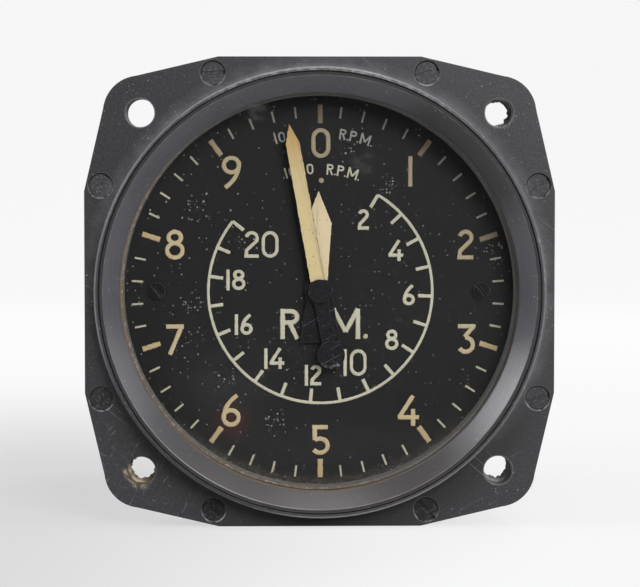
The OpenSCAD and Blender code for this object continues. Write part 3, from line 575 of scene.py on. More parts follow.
finishes["satin_black"] = satin_ring("satin_black")
print(finishes["satin_black"])


# %% Grey ring and seals
DAMP_SIDE = (-0.8, -0.6)


def ring_paint(name):
    """Grey paint gone dark, with pale dust and brown specks on the damp side."""
    finish = Finish(name)
    clouds = finish.noise(160.0, 5.0)
    grit = finish.noise(1500.0, 3.0).between(0.45, 0.65)
    damp = finish.towards(*DAMP_SIDE).between(-5 * MM, 32 * MM)
    dark = finish.mix(clouds, (0.10, 0.097, 0.092), (0.18, 0.17, 0.16))
    pale = finish.mix(grit, (0.15, 0.14, 0.125), (0.36, 0.33, 0.285))
    grey = finish.mix(damp * 0.85 + grit * 0.15, dark, pale)
    rust = finish.noise(700.0, 4.0).between(0.48, 0.64) * damp
    colour = finish.mix(rust * 0.65, grey, (0.17, 0.10, 0.055))
    return finish.surface(colour, clouds.around(0.7, 0.3), finish.bump(grit, 0.25))


def seal_rubber(name, low, high, grime):
    """Rubber in two tones; grime is the share of dark dirt away from the damp side."""
    finish = Finish(name)
    clouds = finish.noise(300.0, 5.0)
    damp = (finish.towards(*DAMP_SIDE) + (clouds - 0.5) * 30 * MM).between(-8 * MM, 26 * MM)
    rubber = finish.mix(clouds, low, high)
    colour = finish.mix((1 - damp) * grime, rubber, (0.075, 0.072, 0.07))
    return finish.surface(colour, clouds.around(0.75, 0.3), finish.bump(clouds, 0.4))


finishes["grey_paint"] = ring_paint("grey_paint")
finishes["brown_seal"] = seal_rubber("brown_seal", (0.10, 0.055, 0.028), (0.25, 0.16, 0.085), 0.92)
finishes["dark_seal"] = seal_rubber("dark_seal", (0.018, 0.015, 0.012), (0.05, 0.04, 0.03), 0.5)
print(finishes["grey_paint"], "and", finishes["brown_seal"])

# %% [markdown]
# The dial is a flat disc in matt black. Old dials carry grains of dust and flakes of luminous paint, denser
# in a few places, silt along the foot, and here a faint red stain by the 6. Each is a mask over the same
# black. The flakes crowd round a few spots, given as x, z and a radius in millimetres.

# %% Dial black
CRUMBS = [
    (-21.6, 14.8, 5.0), (-12.5, 8.5, 4.0), (-22.5, -2.2, 3.5), (-22.3, -8.5, 3.0), (5.0, 25.1, 3.0),
    (12.1, 18.8, 3.5), (31.2, 6.8, 3.6), (-8.0, -23.0, 4.0), (-17.0, -16.0, 4.0),
]


def dial_paint(name):
    finish = Finish(name)
    clouds = finish.noise(60.0, 4.0)
    left = 1 - finish.x.between(-20 * MM, 22 * MM)
    grains = finish.specks(1500.0, 0.19, 0.12, flat=True) * (0.25 + left * 0.30)
    crowded = sum(finish.near(*crumb) for crumb in CRUMBS)
    flakes = finish.specks(1900.0, 0.42, 0.50, (0.2, 0.4, 0.1), flat=True) * crowded.between(0.2, 0.8)
    stray = finish.specks(700.0, 0.12, 0.12, (0.5, 0.1, 0.7), flat=True) * (0.22 + left * 0.38)
    foot = finish.from_axis().between(32.6 * MM, 34.8 * MM) * (1 - finish.z.between(-31 * MM, -20 * MM))
    silt = finish.noise(4200.0, 3.0).between(0.46, 0.60) * foot * 0.38
    haze = finish.near(-17, -16, 13) * finish.noise(90.0).between(0.35, 0.7)
    colour = finish.layered(
        (0.004, 0.004, 0.004),
        (clouds, (0.008, 0.008, 0.008)),
        (finish.near(-15.7, -23.5, 4.8) * 0.65, (0.055, 0.007, 0.009)),
        (haze * 0.03, (0.30, 0.29, 0.27)),
        (silt, (0.30, 0.26, 0.21)),
        (grains + flakes * 0.45 + stray, (0.55, 0.54, 0.49)),
    )
    normal = finish.bump(clouds, 0.1)
    return finish.surface(colour, clouds.around(0.6, 0.2), normal, Specular_IOR_Level=0.2)


finishes["dial_black"] = dial_paint("dial_black")
print(finishes["dial_black"])

# %% [markdown]
# The glass is thin and flat, so it hardly bends what lies behind it. A shader that is mostly clear, with a
# gloss that grows towards the rim of sight, shows that better than a thick refracting block. A few cloudy
# finger marks and grains of dust make it visible. Each mark is x, z and a radius in millimetres, and a share.

# %% Glass
SMUDGES = [
    (-11.0, 31.8, 2.6, 0.12),
    (7.65, 22.7, 3.2, 0.07),
    (25.5, -24.0, 6.0, 0.02),
    (-16.0, -17.0, 13.0, 0.012),
]


def clear_glass(name):
    finish = Finish(name)
    broken = finish.noise(500.0, 4.0).between(0.35, 0.7)
    marks = sum(finish.near(x, z, radius) * strength for x, z, radius, strength in SMUDGES)
    dust = finish.specks(800.0, 0.10, 0.20, flat=True)
    shine = finish.node("Fresnel", {"IOR": 1.45})["Fac"]
    # The even 0.002 share of pale film over the whole glass is a faint painted reflection.
    film = marks * broken + dust * 0.20 + 0.002
    clear = finish.node("BsdfTransparent", {"Color": (0.99, 0.99, 0.99)})["BSDF"]
    mirror = finish.node("BsdfGlossy", {"Color": (1, 1, 1), "Roughness": 0.05})["BSDF"]
    dull = finish.node("BsdfDiffuse", {"Color": (0.42, 0.42, 0.41)})["BSDF"]
    finish.show(finish.blend(film, finish.blend(shine * 0.12, clear, mirror), dull))
    return finish


finishes["glass"] = clear_glass("glass")
print(finishes["glass"])

# %% [markdown]
# Inside, and at the rear, are the plain metals of clockwork and motors. They share one recipe: a base colour
# with slow clouds of tarnish, fine brushing, and a roughness that follows the clouds.


# %% Metals and mouldings
def metal(name, low, high, gloss, brushing=(1, 1, 1), metallic=1.0):
    finish = Finish(name)
    clouds = finish.noise(120.0, 4.0)
    brushed = finish.noise(1500.0, 2.0, brushing)
    colour = finish.mix(clouds, low, high)
    roughness = clouds.around(gloss, 0.2) + brushed.around(0.0, 0.15)
    return finish.surface(colour, roughness, finish.bump(brushed, 0.15), Metallic=metallic)


def mottled(name, low, high, gloss):
    """A moulded or lacquered surface: two tones in fine flecks."""
    finish = Finish(name)
    flecks = finish.noise(700.0, 5.0)
    clouds = finish.noise(80.0, 3.0)
    colour = finish.mix(flecks.between(0.4, 0.65), low, high)
    return finish.surface(colour, clouds.around(gloss, 0.25), finish.bump(flecks, 0.2))


WEIGHT_AT = (1.75, -11.8)
WEIGHT_RADIUS = 2.35


def weight_crust(finish):
    """Dust that has caught on the lower rim of the long pointer's counterweight."""
    rim = (1 - finish.near(*WEIGHT_AT, WEIGHT_RADIUS)).between(0.55, 1.0)
    lower = finish.near(WEIGHT_AT[0] + 0.3, WEIGHT_AT[1] - 1.6, 2.4).between(0.0, 0.7)
    return rim * lower * finish.noise(1800.0, 4.0).between(0.45, 0.62) * 0.5


pointer_black = black_paint("pointer_black", 0.004, 0.6, 0.3, wear=0.1, shine=0.12, crust=weight_crust)
finishes["pointer_paint"] = pointer_black
print(pointer_black)

# %% A finish for each slot of the record
finishes.update({
    "brass": metal("brass", (0.55, 0.38, 0.13), (0.72, 0.54, 0.24), 0.32, (1, 0.2, 1)),
    "bronze": metal("bronze", (0.36, 0.20, 0.09), (0.52, 0.32, 0.15), 0.38),
    "jewel": mottled("jewel", (0.30, 0.01, 0.03), (0.45, 0.03, 0.07), 0.12),
    "steel": metal("steel", (0.42, 0.42, 0.43), (0.60, 0.60, 0.60), 0.30, (1, 0.2, 1)),
    "aluminium": metal("aluminium", (0.55, 0.55, 0.56), (0.74, 0.74, 0.74), 0.42, (0.15, 1, 1)),
    "core_iron": metal("core_iron", (0.14, 0.14, 0.15), (0.24, 0.24, 0.25), 0.50, (1, 0.03, 1)),
    "magnet": metal("magnet", (0.10, 0.10, 0.11), (0.18, 0.18, 0.19), 0.45, metallic=0.6),
    "copper": metal("copper", (0.42, 0.16, 0.07), (0.62, 0.28, 0.14), 0.34, (1, 1, 0.1)),
    "moulding": mottled("moulding", (0.030, 0.016, 0.010), (0.055, 0.030, 0.018), 0.35),
    "lead_sleeve": mottled("lead_sleeve", (0.16, 0.02, 0.015), (0.24, 0.04, 0.03), 0.6),
})
slot_of = {part["node"]: part["material_slot"] for part in frame["record"]["subparts"]}
for node, slot in slot_of.items():
    holder = frame["nodes"][node].data.materials
    holder.clear()
    holder.append(finishes[slot].data)
print(len(finishes), "finishes on", len(slot_of), "nodes")

# %% [markdown]
# A machined or cast edge is never a perfect corner: it has a small round that catches the light. The shape of
# a node is right already, so a copy of its mesh is merged, its flat triangles are joined, and its sharp edges
# are bevelled. The new narrow faces carry the attribute that the paint reads as rubbed.


# %% Ride and mark
def body_of(node):
    return next(body for body, members in frame["record"]["behaviour"]["bodies"].items() if node in members)


def ride_with(piece, node):
    """Lets a new piece move with a node's body."""
    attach(piece, body_of(node))


def rub(bm, faces, amount=1.0):
    """Marks faces as rubbed for the paint."""
    worn = bm.loops.layers.float["worn"]
    for face in faces:
        for loop in face.loops:
            loop[worn] = amount


# %% Soften the edges of a node
MERGED = 0.001 * MM
FLAT = math.radians(0.3)
SHARP = math.radians(28)


def sharp_edges(bm):
    return [e for e in bm.edges if len(e.link_faces) == 2 and e.calc_face_angle() > SHARP]


def bevelled(bm, edges, radius, segments):
    """Rounds edges and returns the new narrow faces."""
    return bmesh.ops.bevel(
        bm, geom=edges, offset=radius, offset_type="OFFSET", segments=segments, profile=0.5, affect="EDGES",
        clamp_overlap=True, material=-1,
    )["faces"]


def softened(node, radius, finish=None, before=None, after=None, sharp_within=0.0):
    """A copy of a node with its edges rounded; before and after are work on its mesh around that.

    Edges that come closer to the axis than sharp_within stay as they are, where they lie too close to round.
    """
    bm = bmesh.new()
    bm.from_mesh(frame["nodes"][node].data)
    bmesh.ops.remove_doubles(bm, verts=bm.verts, dist=MERGED)
    bmesh.ops.dissolve_limit(bm, angle_limit=FLAT, verts=bm.verts, edges=bm.edges)
    bm.loops.layers.float.new("worn")
    if before:
        before(bm)
    to_round = []
    for edge in sharp_edges(bm):
        edge.smooth = min(math.hypot(v.co.x, v.co.z) for v in edge.verts) >= sharp_within
        if edge.smooth:
            to_round.append(edge)
    rub(bm, bevelled(bm, to_round, radius, 2))
    if after:
        after(bm)
    piece = as_piece(node + "_soft", bm, finish or finishes[slot_of[node]])
    shading = piece.modifiers.new("even_shading", "WEIGHTED_NORMAL")
    shading.weight = 80
    shading.keep_sharp = True
    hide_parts(node)
    ride_with(piece, node)


print("edges of more than", round(math.degrees(SHARP)), "degrees will be rounded")

# %% [markdown]
# The front has been handled most. Screws have rubbed the rims of the corner holes wide, so those get a bigger
# round before the rest. The lip's front is marked as rubbed, most on its outer edge, which the paint shows
# partly as wear and partly as a painted highlight. Paint has half filled the slots of the bezel screws, so
# their floors are lifted. The seals get only a slight round.

# %% The bezel and the front
LIP_BACK = -2.6 * MM
LIP_INSIDE = 39.1 * MM
LIP_INNER_RUB_AND_SHEEN = 0.1
TOUCHING = 0.01 * MM
BEZEL_ROUND = 0.22 * MM
# The rounds of the other large pieces, in millimetres.
ROUNDS = {
    "front_glass_seal": 0.06, "rear_glass_seal": 0.06, "case_gasket": 0.06, "glass_ring": 0.12, "case": 0.35,
}


def from_corner_axis(place):
    """How far a place is from the axis of the corner hole nearest to it."""
    return math.hypot(abs(place.x) - HOLE_AT, abs(place.z) - HOLE_AT)


def round_hole_rims(bm):
    """Rounds the front rims of the four corner holes."""
    def on_rim(vert):
        return abs(vert.co.y) < TOUCHING and from_corner_axis(vert.co) < HOLE_RADIUS + TOUCHING

    rims = [edge for edge in sharp_edges(bm) if all(map(on_rim, edge.verts))]
    rub(bm, bevelled(bm, rims, HOLE_ROUND, 4))


def rub_lip(bm):
    """Marks the front of the lip as rubbed, shown by the paint as wear and as a painted highlight."""
    for face in bm.faces:
        middle = face.calc_center_median()
        if middle.y < LIP_BACK:
            outer = math.hypot(middle.x, middle.z) > LIP_INSIDE
            rub(bm, [face], 1.0 if outer else LIP_INNER_RUB_AND_SHEEN)


softened("bezel", BEZEL_ROUND, before=round_hole_rims, after=rub_lip)
for node, radius in ROUNDS.items():
    softened(node, radius * MM)
print("rounds in mm: bezel", BEZEL_ROUND / MM, ROUNDS)

# %% Screws, rear fittings and pointers
FITTING_ROUND = 0.14 * MM
DIAL_ROUND = 0.07 * MM
RIBS_END = 13 * MM
SLOT_FLOOR = 1.2 * MM
SLOT_FILLED = 0.78 * MM


def fill_slots(bm):
    """Lifts the floors of the screws' slots."""
    for vert in bm.verts:
        if abs(vert.co.y - SLOT_FLOOR) < TOUCHING:
            vert.co.y = SLOT_FILLED


def screw_crust(finish):
    """Dust that has caught in the screws' rough paint."""
    return finish.noise(2000.0, 4.0).between(0.5, 0.68) * 0.13


screw_paint = black_paint(
    "screw_paint", 0.006, gloss=0.55, dust=0.7, wear=0.9, shine=0.4, grit=1.6, film=0.04, crust=screw_crust)
softened("bezel_screws", FITTING_ROUND, screw_paint, fill_slots)
softened("terminal_block", FITTING_ROUND, sharp_within=RIBS_END)
for rear_part in ("terminal_nuts", "block_screws", "rear_screws"):
    softened(rear_part, FITTING_ROUND)
softened("dial_screws", DIAL_ROUND, black_paint("dial_screw_black", 0.003, 0.6, wear=0.35, shine=0.12))
for dial_part in ("long_pointer", "long_pointer_hub", "short_pointer", "short_pointer_hub"):
    softened(dial_part, DIAL_ROUND, finishes["pointer_paint"])

# %% [markdown]
# Three of the corner holes have a captive nut behind the flange, and its rough thread shows against the
# light. A thread is a small triangle that is spun round an axis and moved along at each step. The nut's
# crests are shaken a little, because they are rusty and torn, while the ones on the terminal studs stay even.
# The nut's bore first opens towards the rear, as a lead for the screw.

# %% Captive nuts
NUT_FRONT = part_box("captive_nuts")[0].y
NUT_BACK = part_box("captive_nuts")[1].y
NUT_ROOT = 2.45 * MM
NUT_FLARE = 0.5 * MM


def corroded(name):
    """Dull metal under grime, gone to pale rust in the lower left corner."""
    finish = Finish(name)
    clouds = finish.noise(600.0, 5.0)
    rusty = finish.towards(-1, -1).between(20 * MM, 45 * MM)
    grime = finish.mix(clouds, (0.22, 0.21, 0.20), (0.52, 0.51, 0.49))
    rust = finish.mix(clouds.between(0.35, 0.65), (0.16, 0.105, 0.06), (0.80, 0.70, 0.56))
    colour = finish.mix(rusty, grime, rust)
    return finish.surface(colour, clouds.around(0.7, 0.4), finish.bump(clouds, 0.5), Metallic=0.2)


def flare_bore(bm):
    """Opens the bore of each captive nut towards the rear."""
    for vert in bm.verts:
        axis = Vector((math.copysign(HOLE_AT, vert.co.x), vert.co.y, math.copysign(HOLE_AT, vert.co.z)))
        out = vert.co - axis
        if from_corner_axis(vert.co) < NUT_ROOT:
            along = (vert.co.y - NUT_FRONT) / (NUT_BACK - NUT_FRONT)
            vert.co = axis + out.normalized() * (NUT_ROOT + along * NUT_FLARE)


old_metal = corroded("corroded_nut")
softened("captive_nuts", FITTING_ROUND, old_metal, flare_bore)
print("captive nuts from", round(NUT_FRONT / MM, 2), "to", round(NUT_BACK / MM, 2), "mm")

# %% Threads
STEPS_A_TURN = 28
RIDGE_SHARE = 0.48
TORN_SHARE = 0.15
STUD_RADIUS = 1.8 * MM
STUD_CIRCLE = 10.0 * MM


def threads(name, node, centres, root, crest, front, back, pitch, finish, shake=0.0):
    """Helical ridges from a root radius to a crest, round axes that run front to rear."""
    ragged = random.Random(11)
    turns = (back - front) / pitch - 1
    steps = round(turns * STEPS_A_TURN)
    half = pitch * RIDGE_SHARE
    section = [(root, 0.0), (crest, half), (root, 2 * half)]
    bm = bmesh.new()
    for x, z in centres:
        corners = [bm.verts.new((x + r, front + y, z)) for r, y in section]
        first = bm.faces.new(corners)
        bmesh.ops.spin(
            bm, geom=[first, *first.edges, *corners], cent=(x, 0, z), axis=(0, 1, 0),
            angle=turns * 2 * math.pi, dvec=(0, pitch * turns / steps, 0), steps=steps,
        )
        for vert in bm.verts:
            out = Vector((vert.co.x - x, 0, vert.co.z - z))
            if shake and abs(out.length - crest) < TOUCHING / 10:
                tear = ragged.uniform(1, 3) if ragged.random() < TORN_SHARE else 0
                vert.co += out.normalized() * shake * (ragged.uniform(-1, 1) - tear)
    bmesh.ops.recalc_face_normals(bm, faces=bm.faces)
    piece = as_piece(name, bm, finish, smooth=False)
    ride_with(piece, node)
    return piece


nut_spots = [(HOLE_AT, HOLE_AT), (HOLE_AT, -HOLE_AT), (-HOLE_AT, -HOLE_AT)]
nut_ridges = threads(
    "nut_threads", "captive_nuts", nut_spots, root=NUT_ROOT + 0.06 * MM, crest=NUT_ROOT - 0.24 * MM,
    front=NUT_FRONT + 0.1 * MM, back=NUT_FRONT + 4.2 * MM, pitch=0.8 * MM, finish=old_metal, shake=0.11 * MM,
)
stud_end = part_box("terminal_studs")[1].y
stud_turns = [math.radians(turn) for turn in (90, 210, 330)]
stud_spots = [(STUD_CIRCLE * math.cos(turn), STUD_CIRCLE * math.sin(turn)) for turn in stud_turns]
threads(
    "stud_threads", "terminal_studs", stud_spots, root=STUD_RADIUS - 0.03 * MM, crest=STUD_RADIUS + 0.12 * MM,
    front=stud_end - 6.4 * MM, back=stud_end - 0.3 * MM, pitch=0.7 * MM, finish=finishes["brass"],
)
print("threads:", len(nut_ridges.data.polygons), "faces in the nuts")

# %% [markdown]
# Paint and dust have filled the narrow gap round each bezel screw's head, and the dust lies on the lower
# side, as a pale crescent. A ring with a triangular section is spun in each gap, and an attribute says how
# low on its ring each corner lies.


# %% Filled gaps round the screws
SCREW_OUT = 38.375 * MM
SCREW_ANGLE = math.radians(26)
SCREW_ALONG = SCREW_OUT * math.tan(SCREW_ANGLE)
GAP_OUTER = 2.27 * MM
GAP_INNER = 1.98 * MM
GAP_TOP = 0.16 * MM
GAP_FLOOR = 0.52 * MM


def settled_dust(name):
    """Black paint with pale dust where the attribute says that the place is low."""
    finish = Finish(name)
    broken = finish.noise(900.0, 4.0)
    pale = finish.attribute("low").between(-0.4, 0.9) * broken.between(0.36, 0.62)
    colour = finish.mix(pale * 0.6, (0.012, 0.012, 0.0135), DUST)
    return finish.surface(colour, 0.6 + pale * 0.3, finish.bump(broken, 0.5))


bm = bmesh.new()
low = bm.loops.layers.float.new("low")
section = [(GAP_OUTER, GAP_TOP), (GAP_OUTER, GAP_FLOOR), (GAP_INNER, GAP_FLOOR)]
corner_spots = [(SCREW_ALONG, SCREW_OUT), (SCREW_OUT, SCREW_ALONG)]
for (x, z), side_x, side_z in itertools.product(corner_spots, (-1, 1), (-1, 1)):
    centre = Vector((x * side_x, 0, z * side_z))
    corners = [bm.verts.new(centre + Vector((r, y, 0))) for r, y in section]
    edges = [bm.edges.new((corners[i], corners[i - 1])) for i in range(3)]
    before = set(bm.faces)
    bmesh.ops.spin(
        bm, geom=corners + edges, cent=centre, axis=(0, 1, 0), angle=2 * math.pi, steps=48, use_merge=True,
    )
    for loop in itertools.chain.from_iterable(face.loops for face in set(bm.faces) - before):
        loop[low] = (centre.z - loop.vert.co.z) / GAP_OUTER
bmesh.ops.remove_doubles(bm, verts=bm.verts, dist=MERGED)
bmesh.ops.recalc_face_normals(bm, faces=bm.faces)
screw_rims = as_piece("screw_rims", bm, settled_dust("settled_dust"))
ride_with(screw_rims, "bezel_screws")
print("screw rims:", len(screw_rims.data.polygons), "faces")

# %% [markdown]
# The dial's marks are thick luminous paint, laid on by hand through a stencil: strokes of one width with a
# soft round top. Type would look too clean, so each figure is a few strokes of a pen: straight lines and arcs
# in a box one unit high. A stroke becomes a curve with a round section, is made a mesh, and is flattened to a
# thin film that stands a little proud of the dial.


# %% A pen for figures and letters
def arc(centre, radii, start, end, steps):
    """Points round part of an ellipse, by angle in degrees, anticlockwise from the right."""
    angles = [math.radians(start + (end - start) * i / steps) for i in range(steps + 1)]
    return [(centre[0] + radii[0] * math.cos(a), centre[1] + radii[1] * math.sin(a)) for a in angles]


def bow(start, middle, end, steps=12):
    """A quadratic curve through a pull point."""
    parts = [i / steps for i in range(steps + 1)]
    return [tuple((1 - t) ** 2 * a + 2 * t * (1 - t) * b + t * t * c for a, b, c in zip(start, middle, end))
            for t in parts]


def glyphs(pen):
    """The width and the strokes of each character, one unit high; pen is half the stroke's width."""
    def ring(x, y, across, up, start=0, end=360, steps=32):
        """Part of an ellipse, by the half widths of its outer edge."""
        return arc((x, y), (across - pen, up - pen), start, end, steps)

    top = 1 - pen
    stem = [(pen, 0), (pen, 1)]
    crown = ring(0.32, 0.66, 0.32, 0.34, 0, 180, 20)
    nought = crown + ring(0.32, 0.34, 0.32, 0.34, 180, 360, 20) + crown[:1]
    hook = ring(0.27, 0.73, 0.27, 0.27, 165, -35, 20) + [(pen * 1.1, 0.28), (pen, pen)]
    belly = ring(0.31, 0.31, 0.31, 0.31, 95, -150, 20)
    paunch = ring(0.28, 0.31, 0.33, 0.31, 130, -145, 20)
    six = [ring(0.30, 0.29, 0.30, 0.29), bow((pen, 0.30), (pen + 0.03, 0.70), (0.49, 0.97))]
    bowl = [(pen, top)] + ring(0.35, 0.73, 0.29, 0.27, 90, -90, 20) + [(pen, 0.46 + pen)]
    right = 0.98 - pen
    return {
        "0": (0.64, [nought]),
        "1": (2 * pen, [stem]),
        "2": (0.53, [hook, [(0, pen), (0.53, pen)]]),
        "3": (0.64, [[(0.05, top), (0.63, top)], [(0.57, top), (0.27, 0.57)], belly]),
        "4": (0.70, [[(0.50, 1), (0.04, 0.28)], [(0, 0.28), (0.70, 0.28)], [(0.50, 0.56), (0.50, 0)]]),
        "5": (0.61, [[(0.03, top), (0.54, top)], [(0.03 + pen, 1), (0.03 + pen, 0.50)], paunch]),
        "6": (0.60, six),
        "7": (0.58, [[(0, top), (0.58, top)], [(0.58 - pen, top), (0.12, 0)]]),
        "8": (0.66, [ring(0.33, 0.74, 0.28, 0.26), ring(0.33, 0.31, 0.33, 0.31)]),
        "9": (0.60, [[(0.60 - x, 1 - y) for x, y in stroke] for stroke in six]),
        "P": (0.64, [stem, bowl]),
        "R": (0.64, [stem, bowl, [(0.33, 0.5), (0.57, 0)]]),
        "M": (0.98, [stem, [(right, 0), (right, 1)], [(pen, 1), (0.49, 0.24)], [(0.49, 0.24), (right, 1)]]),
        ".": (2 * pen, [arc((pen, pen), (pen * 0.08, pen * 0.08), 0, 360, 8)]),
    }


print("the pen knows", " ".join(glyphs(0.1)))


# %% Lines of figures
def written(text, height, stroke, gap=0.14):
    """Strokes of a line of text in millimetres, centred on the origin."""
    pen = stroke / height / 2
    strokes = []
    reach = 0.0
    for width, parts in map(glyphs(pen).get, text):
        strokes += [[((reach + x) * height, (y - 0.5) * height) for x, y in part] for part in parts]
        reach += width + gap
    middle = (reach - gap) * height / 2
    return [[(x - middle, y) for x, y in part] for part in strokes]


def moved(strokes, across=0.0, up=0.0):
    return [[(x + across, y + up) for x, y in part] for part in strokes]


def clockwise(angle, radius):
    """The place on the dial at an angle from the top, in degrees, and a radius."""
    return radius * math.sin(math.radians(angle)), radius * math.cos(math.radians(angle))


def spoke(angle, inner, outer):
    return [clockwise(angle, inner), clockwise(angle, outer)]


def curved(text, height, stroke, radius, middle, gap):
    """A line of text bent round the dial's centre, with its middle at an angle from the top."""
    bent = []
    for part in written(text, height, stroke, gap):
        bent.append([clockwise(middle + math.degrees(x / radius), radius + y) for x, y in part])
    return bent


def upright(stands, step, nudges, height, taller, stroke, gap=0.14):
    """Upright figures round the dial, each at its own radius, with a nudge and a height for some."""
    strokes = []
    for value, radius in stands.items():
        figure = written(str(value), taller.get(value, height), stroke, gap)
        nudged = moved(figure, *nudges.get(value, (0, 0)))
        strokes += moved(nudged, *clockwise(step * value, radius))
    return strokes


print("a place at 90 degrees and 10 mm:", [round(c, 3) for c in clockwise(90, 10)])

# %% A film of paint on the dial
dial_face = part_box("dial")[0].y
PAINT_RISE = 0.05
CRUMBLE_STEP = 0.3
CRUMBLED = (0.86, 1.08)
MEETING = 1e-6
crumble = random.Random(29)


def divided(part):
    """The same line with points close enough together for the paint's edge to crumble."""
    points = [part[0]]
    for start, end in zip(part, part[1:]):
        pieces = max(1, round(math.dist(start, end) / CRUMBLE_STEP))
        points += [tuple(a + (b - a) * i / pieces for a, b in zip(start, end)) for i in range(1, pieces + 1)]
    return points


def printed(name, strokes, stroke, finish):
    """Turns strokes, in millimetres on the dial, into one film of paint on its face."""
    curve = bpy.data.curves.new(name, "CURVE")
    curve.dimensions = "3D"
    curve.bevel_depth = stroke / 2
    curve.bevel_resolution = 2
    curve.use_fill_caps = True
    for part in map(divided, strokes):
        spline = curve.splines.new("POLY")
        closed = len(part) > 3 and math.dist(part[0], part[-1]) < MEETING
        points = part[:-1] if closed else part
        spline.points.add(len(points) - 1)
        for point, (x, y) in zip(spline.points, points):
            point.co = (x, y, 0.0, 1.0)
            point.radius = crumble.uniform(*CRUMBLED)
        spline.use_cyclic_u = closed
    holder = added(name + "_pen", curve)
    bpy.context.view_layer.update()
    mesh = bpy.data.meshes.new_from_object(holder.evaluated_get(bpy.context.evaluated_depsgraph_get()))
    bpy.data.objects.remove(holder)
    film = Matrix.Diagonal((MM, MM, MM * PAINT_RISE * 2 / stroke, 1.0))
    standing = Matrix.Rotation(math.pi / 2, 4, "X")
    mesh.transform(Matrix.Translation((0, dial_face, 0)) @ standing @ film)
    mesh.materials.clear()
    mesh.materials.append(finish.data)
    mesh.shade_smooth()
    ride_with(added(name, mesh), "dial")


print("the dial's face is at", round(dial_face / MM, 2), "mm")

# %% [markdown]
# Luminous paint browns with age, and it does so unevenly: the outer figures have gone tan, their strokes
# orange at the bottom and dull brown at the top, while the inner scale has kept a pale greenish cream. One
# recipe mixes a fresh and an aged tone by height on the dial and by blotches, and breaks the edges with dark
# pits.


# %% Luminous paint
def old_paint(name, fresh, aged, top, amount):
    """fresh, aged and top are colours; amount is how far the ageing has gone."""
    finish = Finish(name)
    blotches = finish.noise(220.0, 4.0)
    pits = finish.specks(1900.0, 0.42, 0.25)
    low = finish.mix((blotches - 0.5 + amount).between(0.15, 0.85), fresh, aged)
    colour = finish.mix(finish.towards(0.5, 1).between(-4 * MM, 32 * MM), low, top)
    pitted = finish.mix(pits * 0.35, colour, (0.05, 0.04, 0.03))
    return finish.surface(pitted, blotches.around(0.75, 0.2), finish.bump(blotches, 0.3))


figure_paint = old_paint(
    "figure_paint", (0.54, 0.465, 0.288), (0.52, 0.353, 0.175), (0.31, 0.262, 0.168), 0.45)
mark_paint = old_paint("mark_paint", (0.54, 0.437, 0.24), (0.47, 0.345, 0.185), (0.17, 0.13, 0.09), 0.6)
minor_paint = old_paint("minor_paint", (0.52, 0.49, 0.37), (0.47, 0.40, 0.25), (0.22, 0.21, 0.18), 0.35)
inner_paint = old_paint("inner_paint", (0.535, 0.517, 0.398), (0.517, 0.455, 0.31), (0.50, 0.481, 0.37), 0.3)
legend_paint = old_paint("legend_paint", (0.40, 0.40, 0.36), (0.36, 0.35, 0.30), (0.27, 0.27, 0.25), 0.3)
print(figure_paint, mark_paint, minor_paint, inner_paint, legend_paint, sep=", ")

# %% [markdown]
# The outer scale counts hundreds: fifty strokes round the dial, each fifth one broad, and the figures 0 to 9.
# The inner scale counts thousands on an arc with ticks that point inwards. A loop lays out each of them. No
# dial painter works to a hair, so each group has its own offset, and some figures have a nudge of their own.

# %% Outer scale
DIVISIONS = 50
DIVISION = 360 / DIVISIONS
BROAD = (29.95, 33.25)
BROAD_STROKE = 0.98
BROAD_OFF = (0.17, -0.18)
FINE = (31.2, 33.2)
FINE_STROKE = 0.38
FINE_OFF = (-0.2, -0.35)
FIGURE_STEP = 36
FIGURE_HEIGHT = 5.4
FIGURE_STROKE = 0.82
FIGURES_OFF = (0.27, -0.25)
FIGURES_OUT = 26.5
FIGURES_BULGE = 0.9
NUDGES = {1: (0.18, -0.22), 2: (-0.18, 0.0), 4: (-0.05, 0.41), 6: (-0.26, 0.49), 9: (-0.13, -0.33)}
TALLER = {6: 5.85, 9: 5.85}
majors = [spoke(i * DIVISION, *BROAD) for i in range(0, DIVISIONS, 5)]
minors = [spoke(i * DIVISION, *FINE) for i in range(DIVISIONS) if i % 5]
printed("major_strokes", moved(majors, *BROAD_OFF), BROAD_STROKE, mark_paint)
printed("minor_strokes", moved(minors, *FINE_OFF), FINE_STROKE, minor_paint)
sideways = {count: math.sin(math.radians(FIGURE_STEP * count)) ** 2 for count in range(10)}
stands = {count: FIGURES_OUT + FIGURES_BULGE * share for count, share in sideways.items()}
figures = upright(stands, FIGURE_STEP, NUDGES, FIGURE_HEIGHT, TALLER, FIGURE_STROKE)
zero_dot = arc((0.1, 19.85), (0.08, 0.08), 0, 360, 8)
printed("outer_figures", moved([zero_dot] + figures, *FIGURES_OFF), FIGURE_STROKE, figure_paint)
print("outer scale:", len(majors), "broad and", len(minors), "fine strokes")

# %% Inner scale
ARC_RADIUS = 19.97
ARC_STROKE = 0.54
THOUSAND = 15.43
TICK_LENGTH = 2.5
TICK_STROKE = 0.64
INNER_STROKE = 0.64
INNER_GAP = 0.1
INNER_OFF = (0.2, -0.13)
INNER_HEIGHT = 3.7
INNER_TALLER = {10: 4.8, 20: 4.8}
INNER_STANDS = {
    2: 14.9, 4: 15.3, 6: 15.8, 8: 15.6, 10: 14.4, 12: 15.4, 14: 14.8, 16: 15.1, 18: 15.2, 20: 13.4,
}
INNER_NUDGES = {8: (-0.27, -0.1), 10: (-0.05, 0.22), 12: (0.05, 0.33), 14: (0.45, -0.05), 16: (0.2, 0.0)}
sweep_line = arc((0, 0), (ARC_RADIUS, ARC_RADIUS), 90 - 2 * THOUSAND, 90 - 20 * THOUSAND, 120)
ticks = [spoke(k * THOUSAND, ARC_RADIUS - TICK_LENGTH, ARC_RADIUS) for k in range(2, 21)]
